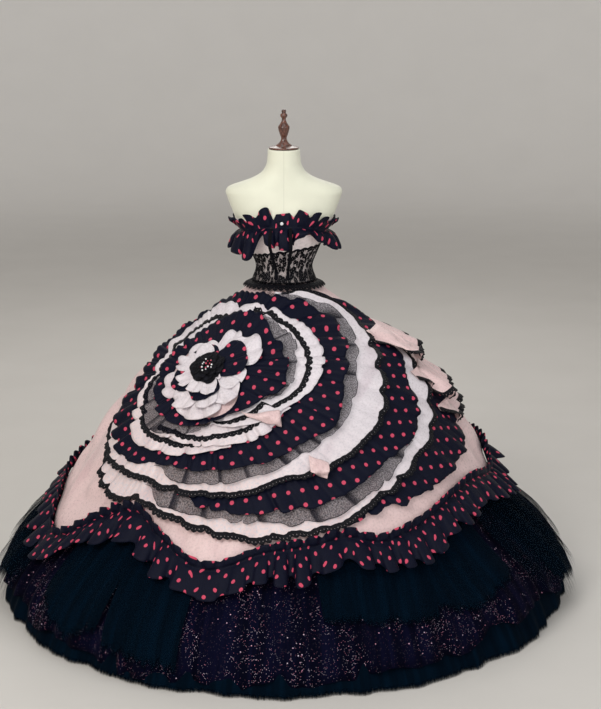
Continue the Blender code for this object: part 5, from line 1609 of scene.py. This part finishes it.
def tier_edges(tier, turns, covered, seated):
    """A tier's inner and outer reach: tucked under what covers it, narrowed toward an open tier's ends.

    Satin is tucked nearly as far as its cover's own inner edge, so that it shows through tulle. A hem
    that would lie over the hem ruffle's frill is drawn in by half a degree at a time.
    """
    degrees = np.arange(361.0)
    above = np.interp(np.mod(turns, 360.0), degrees, covered)
    below = np.interp(np.mod(turns, 360.0), degrees, seated)
    outer = tier_hem(tier, turns)
    whole = np.ones(turns.shape)
    if tier.end - tier.start < 360:
        whole = ramp(0.0, 11.0, turns - tier.start) * ramp(0.0, 11.0, tier.end - turns)
    for _ in range(16):
        points = on_dome(rose_direction(turns, outer), TIER_LIFT)
        azimuths = np.degrees(np.arctan2(points[..., 0], -points[..., 1]))
        low = points[..., 2] < smooth_round(SATIN_HEM, azimuths) + RUFFLE_LINE_UP + RUFFLE_FRILL + 0.004
        outer = np.where(low, outer - 0.5, outer)
    showing = np.maximum((outer - above) * whole, 0.6 + 0.2 * whole)
    if tier.cloth == "satin":
        inner = below + 0.12 * (above - below)
    else:
        tuck = np.maximum(0.5 * showing, 0.5)
        inner = np.maximum(above - tuck, below + 0.4 * (above - below))
    return inner, above + showing


def cover(turns, inner, outer, closed, covered, seated):
    """The rose's reach, and its outermost tier's inner reach, at each whole degree."""
    degrees = np.arange(361.0)
    if closed:
        return (np.interp(degrees, turns % 360.0, outer, period=360.0),
                np.interp(degrees, turns % 360.0, inner, period=360.0))
    reached, started = covered.copy(), seated.copy()
    for shift in WRAPS:
        at = degrees + shift
        inside = (at >= turns[0]) & (at <= turns[-1])
        reached = np.where(inside, np.interp(at, turns, outer), reached)
        started = np.where(inside, np.interp(at, turns, inner), started)
    return reached, started


def even(places, at, values):
    """Rows of values read off at the same places, from rows given at their own places."""
    return np.stack([np.interp(places, a, v) for a, v in zip(at, values)])


class Stack:
    """Height of the cloths laid on the skirt so far, on a lattice of turns and reaches."""

    TURN_STEP = 0.5
    REACH_STEP = 0.25

    def __init__(self):
        """An empty lattice, at height 0."""
        self.turns = np.arange(0.0, 360.0, self.TURN_STEP)
        self.reaches = np.arange(0.0, 92.0, self.REACH_STEP)
        self.height = np.zeros((len(self.turns), len(self.reaches)))
        self.widen()

    def widen(self):
        """The highest of each place and its neighbours, so that cloth clears a step between its points."""
        wide = self.height.copy()
        for turn_shift in (-2, -1, 1, 2):
            wide = np.maximum(wide, np.roll(self.height, turn_shift, axis=0))
        self.floor = wide.copy()
        self.floor[:, 1:] = np.maximum(self.floor[:, 1:], wide[:, :-1])
        self.floor[:, :-1] = np.maximum(self.floor[:, :-1], wide[:, 1:])

    def at(self, turn, reach):
        """Height under points, bilinear between the lattice's four nearest values."""
        t = np.mod(turn, 360.0) / self.TURN_STEP
        r = np.clip(reach / self.REACH_STEP, 0, len(self.reaches) - 1.001)
        t0, r0 = np.floor(t).astype(int), np.floor(r).astype(int)
        ft, fr = t - t0, r - r0
        t0 %= len(self.turns)
        t1 = (t0 + 1) % len(self.turns)
        near = self.floor[t0, r0] * (1 - fr) + self.floor[t0, r0 + 1] * fr
        far = self.floor[t1, r0] * (1 - fr) + self.floor[t1, r0 + 1] * fr
        return near * (1 - ft) + far * ft

    def lay(self, at, reach, out):
        """Raises the lattice to a cloth's heights, read along its rows to each turn, then down them."""
        for shift in WRAPS:
            places = self.turns + shift
            inside = np.flatnonzero((places >= at[:, 0].max()) & (places <= at[:, -1].min()))
            if not len(inside):
                continue
            rows = even(places[inside], at, reach)
            heights = even(places[inside], at, out)
            for column, i in enumerate(inside):
                found = np.interp(self.reaches, rows[:, column], heights[:, column], left=-1.0, right=-1.0)
                self.height[i] = np.maximum(self.height[i], found)
        self.widen()

    def drape(self, at, reach, out):
        """Heights of a cloth laid on the stack: its own, but softly never below the stack and a gap."""
        floor = self.at(at, reach) + LAYER_GAP
        above = (out - floor) / SOFT_CONTACT
        out = floor + SOFT_CONTACT * np.where(above > 20.0, above, np.log1p(np.exp(np.minimum(above, 20.0))))
        self.lay(at, reach, out + CLOTH)
        return out


def cone_uv(turns, reach):
    """Flat cut of a flounce: the ring on the dome unrolled as the cone that touches it at its middle."""
    middle = math.radians(float(np.mean(0.5 * (reach[0] + reach[-1]))))
    distance = DOME_RADIUS * (math.tan(middle) + np.radians(reach) - middle)
    angle = np.radians(turns) * math.cos(middle)
    return np.stack([distance * np.cos(angle), distance * np.sin(angle)], axis=-1)


def pleat_ply_and_shade(turns, spacing, seed):
    """Doubled net and painted pleat shade: 1 along each pleat's edge, fading on the way to the next, pleats unevenly
    apart.
    """
    chance = np.random.default_rng(seed)
    steps = spacing * chance.uniform(0.45, 1.6, int((turns[-1] - turns[0]) / spacing) * 2 + 4)
    edges = turns[0] + np.cumsum(steps)
    index = np.searchsorted(edges, turns)
    past = turns - np.concatenate([[turns[0] - 99.0], edges])[index]
    width = 0.16 * spacing
    return np.clip(1.0 - past / width, 0.0, 1.0) ** 0.7


class GOWN_OT_rose(bpy.types.Operator):
    """The rose's tiers, each laid on what is under it, with their lace tapes"""
    bl_idname = "gown.rose"
    bl_label = "Rose"

    def execute(self, context):
        """Works the tiers' reaches out from the heart outward, then lays them from the outermost inward."""
        covered, seated = np.full(361, HEART_REACH), np.zeros(361)
        cuts = []
        for tier in TIERS:
            closed = tier.end - tier.start >= 360
            count = int((tier.end - tier.start) / 0.8)
            turns = np.linspace(tier.start, tier.end, count + 1)
            inner, outer = tier_edges(tier, turns, covered, seated)
            covered, seated = cover(turns, inner, outer, closed, covered, seated)
            cuts.append((tier, turns, inner, outer, closed))
        stack = Stack()
        for number, (tier, turns, inner, outer, closed) in reversed(list(enumerate(cuts))):
            if tier.name not in HEART_TIERS:
                self.lay_tier(stack, number, tier, turns, inner, outer, closed)
        for name, slot, finish, petals in PETAL_RINGS:
            lay_petals(stack, name, slot, finish, petals)
        lay_heart(stack)
        lay_turnbacks(stack)
        lay_flank(stack)
        return {"FINISHED"}

    def lay_tier(self, stack, number, tier, turns, inner, outer, closed):
        """One tier: a lift of share^1.3 and leaning flutes that deepen to the hem, laid on the stack.

        Flutes follow cos(phase) and lean sideways by sin(phase), which makes broad lobes and narrow valleys.
        """
        gown = bpy.context.scene.gown
        span = (tier.end - tier.start) / 360.0
        angle = np.radians(turns - tier.start) / span
        ends = 1.0 if closed else ramp(0.0, 0.06, angle / 6.2832) * ramp(1.0, 0.94, angle / 6.2832)
        deep = gown.flute_depth * FLUTE_SHARE[tier.cloth]
        size = (0.70 + 0.42 * drift(angle, 200 + number, (1, 2, 4))) * ends
        phase = tier.folds * angle + 2.4 * drift(angle, 100 + number)
        pucker = pleat((3 * tier.folds + 1) * angle + 3.0 * drift(angle, 300 + number), 1.0) * ends
        loops = 0.50 * np.sin(phase) + 0.22 * np.sin(2.0 * phase)
        lean = np.degrees(loops / tier.folds) * span * np.minimum(1.0, size)
        rows = 11 if tier.cloth == "tulle" else 15
        shares = np.linspace(0.0, 1.0, rows)[:, None]
        hem = outer + 0.45 * size * np.cos(phase) + 0.08 * pucker
        reach = inner + (hem - inner) * shares
        at = turns + lean * shares ** 0.8
        lift = gown.rose_lift * (1.0 + 0.30 * drift(angle, 400 + number, (2, 3, 5)) * ends)
        out = TIER_SEAT + lift * shares ** TIER_CURL
        out = out + deep * size * np.cos(phase + 0.7 * shares) * (0.12 + 0.88 * shares ** 1.2)
        out = out + 0.30 * deep * pucker * (0.55 + 0.45 * shares)
        out = stack.drape(at, reach, out)
        grid = on_dome(rose_direction(at, reach), out)
        finish = {"dotted": "gown_dotted", "satin": "gown_satin", "tulle": "gown_rose_tulle"}[tier.cloth]
        ply = pleat_ply_and_shade(turns, 18.0, 500 + number) if tier.cloth == "tulle" else None
        uv = cone_uv(at, reach)
        if closed:
            grid = grid[:, :-1]
        piece = make_cloth(tier.name + "_cloth", grid, finish, uv, closed, ply=ply)
        place(piece, tier.cloth, tier.name)
        trims = []
        if tier.tape:
            level_reach, level_out = even(turns, at, reach), even(turns, at, out)
            trims.append(self.tape(tier, turns, level_reach, level_out))
            band = np.broadcast_to(0.0010 * (shares > tier.tape[0]), level_out.shape)
            stack.lay(np.broadcast_to(turns, level_reach.shape), level_reach, level_out + CLOTH + band)
        declare(piece, grid, closed, "gathered", ["satin_overskirt"], trims)

    def tape(self, tier, turns, reach, out):
        """Lace tape on a tier: an even strip round the tape's middle, scalloped along its outer edge."""
        scallop = bpy.context.scene.gown.tape_scallop
        width = reach[-1] - reach[0]
        widest = math.degrees(TAPE_HALF / DOME_RADIUS)
        half = np.minimum(widest, 0.5 * width * (tier.tape[1] - tier.tape[0]) + 0.1)
        centre = reach[0] + width * 0.5 * (tier.tape[0] + tier.tape[1])
        if tier.tape[1] >= 1.0:
            centre = reach[-1] - half * 0.75
        fine_turns = np.linspace(turns[4], turns[-5], 3 * (len(turns) - 8))
        centre = np.interp(fine_turns, turns, centre)
        half = np.interp(fine_turns, turns, half)
        path = on_dome(rose_direction(fine_turns, centre), np.zeros(fine_turns.shape))
        run = lengths(path[None], 1)[0]
        wave = np.abs(np.sin(np.pi * run / scallop)) ** 0.8
        grid_reach, grid_out = [], []
        for across in np.linspace(-1.0, 1.0, 5):
            edge = half * (0.62 + 0.62 * wave) if across > 0 else half * (0.86 + 0.14 * wave)
            at = centre + across * edge
            grid_reach.append(at)
            height = self.height_at(turns, reach, out, fine_turns, at)
            grid_out.append(height + CLOTH + 0.0006 + 0.0008 * (1.0 - across ** 2))
        vectors = rose_direction(np.broadcast_to(fine_turns, (5, len(fine_turns))), np.array(grid_reach))
        grid = on_dome(vectors, np.array(grid_out))
        uv = np.stack([np.broadcast_to(run, grid.shape[:2]), lengths(grid, 0)], axis=-1)
        tape = make_cloth(tier.name + "_tape", grid, "gown_tape", uv)
        return place(tape, "lace", tier.name + "_lace")

    @staticmethod
    def height_at(turns, reach, out, at_turns, at_reach):
        """A tier's height at other turns and reaches, straight on past its hem."""
        c = np.clip(np.searchsorted(turns, at_turns) - 1, 0, len(turns) - 2)
        f = (at_turns - turns[c]) / (turns[c + 1] - turns[c])
        rows = reach[:, c] * (1 - f) + reach[:, c + 1] * f
        heights = out[:, c] * (1 - f) + out[:, c + 1] * f
        share = (at_reach - rows[0]) / (rows[-1] - rows[0]) * (len(reach) - 1)
        low = np.clip(np.floor(share).astype(int), 0, len(reach) - 2)
        column = np.arange(len(at_turns))
        rest = share - low
        return heights[low, column] * (1 - rest) + heights[low + 1, column] * rest


def petal_grid(stack, petal, number):
    """One petal: a rounded outline (1 - |s|^2.6)^(1/1.8) over its turns, cupped, with small rim ruffles."""
    columns = max(24, int((petal.end - petal.start) * min(0.7, 0.09 * petal.outer)))
    s = np.linspace(-1.0, 1.0, columns)
    turns = 0.5 * (petal.start + petal.end) + 0.5 * (petal.end - petal.start) * s
    round_off = np.maximum(1.0 - np.abs(s) ** 2.6, 0.0) ** (1.0 / 1.8)
    hem = petal.inner + (petal.outer - petal.inner) * (0.10 + 0.90 * round_off)
    phase = petal.ruffles * np.pi * s + 1.3 * number
    hem = hem + 0.30 * np.cos(phase) * round_off
    shares = np.linspace(0.0, 1.0, 13)[:, None]
    reach = petal.inner + (hem - petal.inner) * shares
    lean = 0.6 * np.sin(phase) * (petal.end - petal.start) / (2.0 * np.pi * petal.ruffles)
    at = turns + lean * shares ** 1.2
    rise_up = petal.lift * (0.25 + 0.75 * round_off)
    out = TIER_SEAT + rise_up * shares ** 1.2 + 0.55 * rise_up * np.cos(phase) * shares ** 2
    out = out + 0.0020 * pleat(4 * phase + number, 1.0) * np.sin(np.pi * shares) ** 0.5
    out = stack.drape(at, reach, out)
    return on_dome(rose_direction(at, reach), out), cone_uv(at, reach)


def lay_petals(stack, name, slot, finish, petals):
    """A ring of overlapping petals as one cloth, laid from the first up."""
    grids, uvs = zip(*[petal_grid(stack, petal, number) for number, petal in enumerate(petals)])
    piece = join_grids(name + "_cloth", grids, finish, uvs)
    place(piece, slot, name)
    declare_joined(piece, grids, [])


def join_grids(name, grids, finish, uvs=None, thick=CLOTH):
    """Several open grids as one cloth with a wall, each with its own flat cut."""
    faces, start = [], 0
    for grid in grids:
        rows, columns = grid.shape[:2]
        faces.append(grid_quads(rows, columns, False)[0] + start)
        start += rows * columns
    faces = np.concatenate(faces)
    points = np.concatenate([grid.reshape(-1, 3) for grid in grids])
    made = make_mesh(name, points, faces.tolist(), finish)
    cuts = [uv.reshape(-1, 2) for uv in uvs or map(gathered_uv, grids)]
    spans = [shares_of(*grid.shape[:2]).reshape(-1, 2) for grid in grids]
    add_uvs(made, np.concatenate(cuts), np.concatenate(spans), faces)
    thicken(made, thick)
    return made


def declare_joined(piece, grids, with_pieces, rests_on=("satin_overskirt",)):
    """States the flat cut of a cloth sewn from several pieces: one length that holds all their area."""
    area = 0.0
    for grid in grids:
        side = np.cross(grid[1:, :-1] - grid[:-1, :-1], grid[:-1, 1:] - grid[:-1, :-1])
        area += float(np.linalg.norm(side, axis=-1).sum())
    width = max(0.02, round(max(float(lengths(grid, 0)[-1].max()) for grid in grids), 3))
    flat = (round(1.05 * area / width, 3), width)
    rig.sheet(piece, flat=flat, held="gathered", rests_on=list(rests_on), area=round(area, 4),
             with_pieces=with_pieces)


def lay_turnbacks(stack):
    """Folded-back ends of satin bands: patches between four corners on the rose, arched across."""
    grids = []
    for corners in SATIN_TURNBACKS:
        down, across = grid_of(np.linspace(0.0, 1.0, 14), np.linspace(0.0, 1.0, 18))
        corners = np.array(corners)
        blend = [(1 - down) * (1 - across), (1 - down) * across, down * (1 - across), down * across]
        turn, reach = (sum(part * value for part, value in zip(blend, corners[:, i])) for i in (0, 1))
        arch = 0.004 + 0.012 * np.sin(np.pi * down) * (0.4 + 0.6 * across)
        arch = arch + 0.003 * np.cos(9.0 * across + 4.0 * down)
        out = np.maximum(stack.at(turn, reach) + LAYER_GAP + arch, 0.0)
        grids.append(on_dome(rose_direction(turn, reach), out)[:, ::-1])
    piece = join_grids("rose_satin_turnbacks", grids, "gown_pink_satin")
    place(piece, "satin")
    declare_joined(piece, grids, [])


def lay_flank(stack):
    """Small satin flounces down the right flank, edged with black lace, that stand off at their hems.

    Each runs from its seam's height to its hem's, lifted by share^1.2 with looped folds, over the rose.
    """
    for number, tier in enumerate(FLANK_TIERS):
        azimuths = np.radians(np.linspace(tier.start, tier.end, 210))
        share_round = np.linspace(0.0, 1.0, 210)
        ends = ramp(0.0, 0.16, share_round) * ramp(1.0, 0.84, share_round)
        phase, size, side = gathers(azimuths, 40, 600 + 3 * number, 0.4)
        rows = []
        for share in np.linspace(0.0, 1.0, 11):
            bulge = size * np.cos(phase) * ends
            heights = tier.seam + (tier.hem - tier.seam) * share * (0.25 + 0.75 * ends) * (1.0 - 0.05 * bulge)
            vectors = direction(azimuths + side * ends * share ** 0.8, dome_elevation(heights))
            turn, reach = rose_angles(vectors)
            out = tier.lift * ends * share ** 1.2 + 0.010 * bulge * share ** 0.8
            floor = stack.at(turn, reach) + LAYER_GAP
            rows.append(on_dome(vectors, floor + np.maximum(out, 0.0)))
        grid = np.stack(rows)
        piece = make_cloth(tier.name + "_cloth", grid, "gown_pink_satin")
        place(piece, "satin")
        edge = hem_lace(tier.name + "_edge", grid)
        declare(piece, grid, False, "gathered", ["satin_overskirt"], [edge])


def hem_lace(name, grid):
    """A scalloped lace strip over a cloth's hem, from above the hem to past it, moved out 1.2 mm."""
    run = lengths(grid, 1)[-1]
    wave = np.abs(np.sin(np.pi * run / bpy.context.scene.gown.tape_scallop)) ** 0.8
    down = (grid[-1] - grid[-3]) / np.linalg.norm(grid[-1] - grid[-3], axis=-1)[:, None]
    normal = np.cross(np.gradient(grid[-1], axis=0), down)
    normal /= np.linalg.norm(normal, axis=-1)[:, None]
    normal *= np.sign((normal * (grid[-1] - [0.0, 0.0, DOME_CENTRE_Z])).sum(axis=-1))[:, None]
    rows = []
    for share in np.linspace(0.0, 1.0, 6):
        past = (share * (0.85 + 0.40 * wave) - 0.80) * EDGE_WIDTH
        rows.append(grid[-1] + past[:, None] * down + 0.0012 * normal)
    strip = np.stack(rows)
    uv = np.stack([np.broadcast_to(run, strip.shape[:2]), lengths(strip, 0)], axis=-1)
    return place(make_cloth(name, strip, "gown_tape", uv), "lace")


def lay_heart(stack):
    """The heart: three rings of cupped lace petals on a dense base, round a few set stones.

    The base is a ring out to the flower's outline, lifted by share^1.2, with nine shallow waves at its rim.
    """
    turns = np.linspace(0.0, 360.0, 121)
    shares = np.linspace(0.0, 1.0, 8)[:, None]
    reach = HEART_HOLE + (smooth_round(HEART_OUTLINE, turns) - HEART_HOLE) * shares
    at = np.broadcast_to(turns, reach.shape)
    wave = 0.0014 * np.cos(9.0 * np.radians(turns)) * shares ** 2
    out = stack.drape(at, reach, 0.003 + 0.007 * shares ** 1.2 + wave)
    base_grid = on_dome(rose_direction(at, reach), out)[:, :-1]
    lace = "gown_heart_lace"
    base = make_cloth("rose_heart_base", base_grid, lace, closed=True, thick=HEART_NET)
    place(base, "lace")
    made = []
    for ring, (count, far, lift) in enumerate(HEART_RINGS):
        for number in range(count):
            middle = 360.0 / count * (number + 0.5 * ring)
            half = 0.75 * 360.0 / count
            petal = Petal(middle - half, middle + half, HEART_HOLE, far, lift, 2)
            made.append(petal_grid(stack, petal, number + 10 * ring))
    grids, uvs = zip(*made)
    flower = join_grids("rose_heart_petals", grids, lace, uvs, HEART_NET)
    place(flower, "lace", "rose_heart")
    declare_joined(flower, grids, [base, set_stones(stack)])


def set_stones(stack):
    """Small round stones in a cluster: ring grids round their own centres, in one mesh, tinted apart."""
    chance = np.random.default_rng(7)
    count = HEART_STONES
    turn = np.arange(count) * 137.5
    reach = 2.0 * np.sqrt((np.arange(count) + 0.5) / count)
    size = 0.0022 + 0.0014 * chance.random(count)
    centres = on_dome(rose_direction(turn, reach), stack.at(turn, reach) + 0.8 * size)
    down, across = grid_of(np.linspace(0.0, np.pi, 6)[1:-1], around(8, 0.0))
    shell = np.stack([np.sin(down) * np.cos(across), np.sin(down) * np.sin(across), np.cos(down)], axis=-1)
    points = centres[:, None, :] + size[:, None, None] * shell.reshape(-1, 3)[None]
    bead = capped_faces(*down.shape)
    faces = [[i + down.size * k for i in face] for k in range(count) for face in bead]
    made = make_mesh("rose_heart_stones", points.reshape(-1, 3), faces, "gown_stone")
    add_value(made, "tint", np.repeat(chance.random(count) > 0.55, down.size))
    return place(made, "gem")


class GOWN_OT_stage(bpy.types.Operator):
    """A plain pale floor that rises all round like a wide bowl, soft lights and the camera"""
    bl_idname = "gown.stage"
    bl_label = "Stage"

    def execute(self, context):
        """The floor rises by 0.35 times the square of the distance past its flat part."""
        side = np.linspace(-FLOOR_HALF, FLOOR_HALF, 65)
        y, x = grid_of(side[::-1], side)
        rim = np.maximum(np.hypot(x, y) - FLOOR_FLAT, 0.0)
        grid = np.stack([x, y, 0.35 * rim ** 2 - 0.0005], axis=-1)
        floor = make_cloth("stage_floor", grid, "stage_pale", thick=0)
        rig.stage(floor)
        for lamp in LAMPS:
            self.light(lamp)
        world = bpy.data.worlds.new("studio")
        world.use_nodes = True
        world.node_tree.nodes["Background"].inputs["Color"].default_value = SKY_COLOUR
        world.node_tree.nodes["Background"].inputs["Strength"].default_value = SKY_STRENGTH
        context.scene.world = world
        context.scene.view_settings.view_transform = "Standard"
        camera = bpy.data.cameras.new("photo_camera")
        camera.lens = CAMERA_LENS
        camera.sensor_width = 36.0
        camera.clip_end = 60.0
        made = bpy.data.objects.new("photo_camera", camera)
        made.location = CAMERA_PLACE
        made.rotation_euler = (math.radians(CAMERA_TILT), 0.0, 0.0)
        context.scene.collection.objects.link(made)
        context.scene.camera = made
        return {"FINISHED"}

    @staticmethod
    def light(lamp):
        """A square area light aimed at a point."""
        light = bpy.data.lights.new(lamp.name, "AREA")
        light.size = lamp.size
        light.energy = lamp.power
        light.color = lamp.colour
        made = bpy.data.objects.new(lamp.name, light)
        made.location = lamp.place
        away = np.array(lamp.place) - np.array(lamp.aim)
        flat = math.hypot(away[0], away[1])
        made.rotation_euler = (math.atan2(flat, away[2]), 0.0, math.atan2(away[1], away[0]) + math.pi / 2)
        bpy.context.scene.collection.objects.link(made)


class GOWN_PT_panel(bpy.types.Panel):
    """Settings and pieces of the gown"""
    bl_idname = "GOWN_PT_panel"
    bl_label = "Tiered ball gown"
    bl_space_type = "VIEW_3D"
    bl_region_type = "UI"
    bl_category = "Gown"

    def draw(self, context):
        """Lists the settings and a button for each operator."""
        for label in GownSettings.__annotations__:
            self.layout.prop(context.scene.gown, label)
        for operator in OPERATORS:
            self.layout.operator(operator.bl_idname)


OPERATORS = (GOWN_OT_form, GOWN_OT_bodice, GOWN_OT_cincher, GOWN_OT_neckline, GOWN_OT_tulle,
             GOWN_OT_overskirt, GOWN_OT_hem_ruffle, GOWN_OT_rose, GOWN_OT_stage)
CLASSES = (GownSettings, *OPERATORS, GOWN_PT_panel)


def register():
    """Registers the classes and gives the scene the gown's settings."""
    for made in CLASSES:
        bpy.utils.register_class(made)
    bpy.types.Scene.gown = bpy.props.PointerProperty(type=GownSettings)


def unregister():
    """Takes the settings and the classes away again."""
    del bpy.types.Scene.gown
    for made in reversed(CLASSES):
        bpy.utils.unregister_class(made)


def main():
    register()
    build_dot_group()
    build_weave_group()
    build_lace_group()
    build_glitter_group()
    for operator in OPERATORS:
        family, name = operator.bl_idname.split(".")
        getattr(getattr(bpy.ops, family), name)()
    boxes = {"cad": [list(corner) for corner in CAD_BOX], "visual": [list(corner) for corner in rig.bounds()]}
    with open(SIZE_FILE, "w") as file:
        json.dump(boxes, file)


if __name__ == "__main__":
    main()
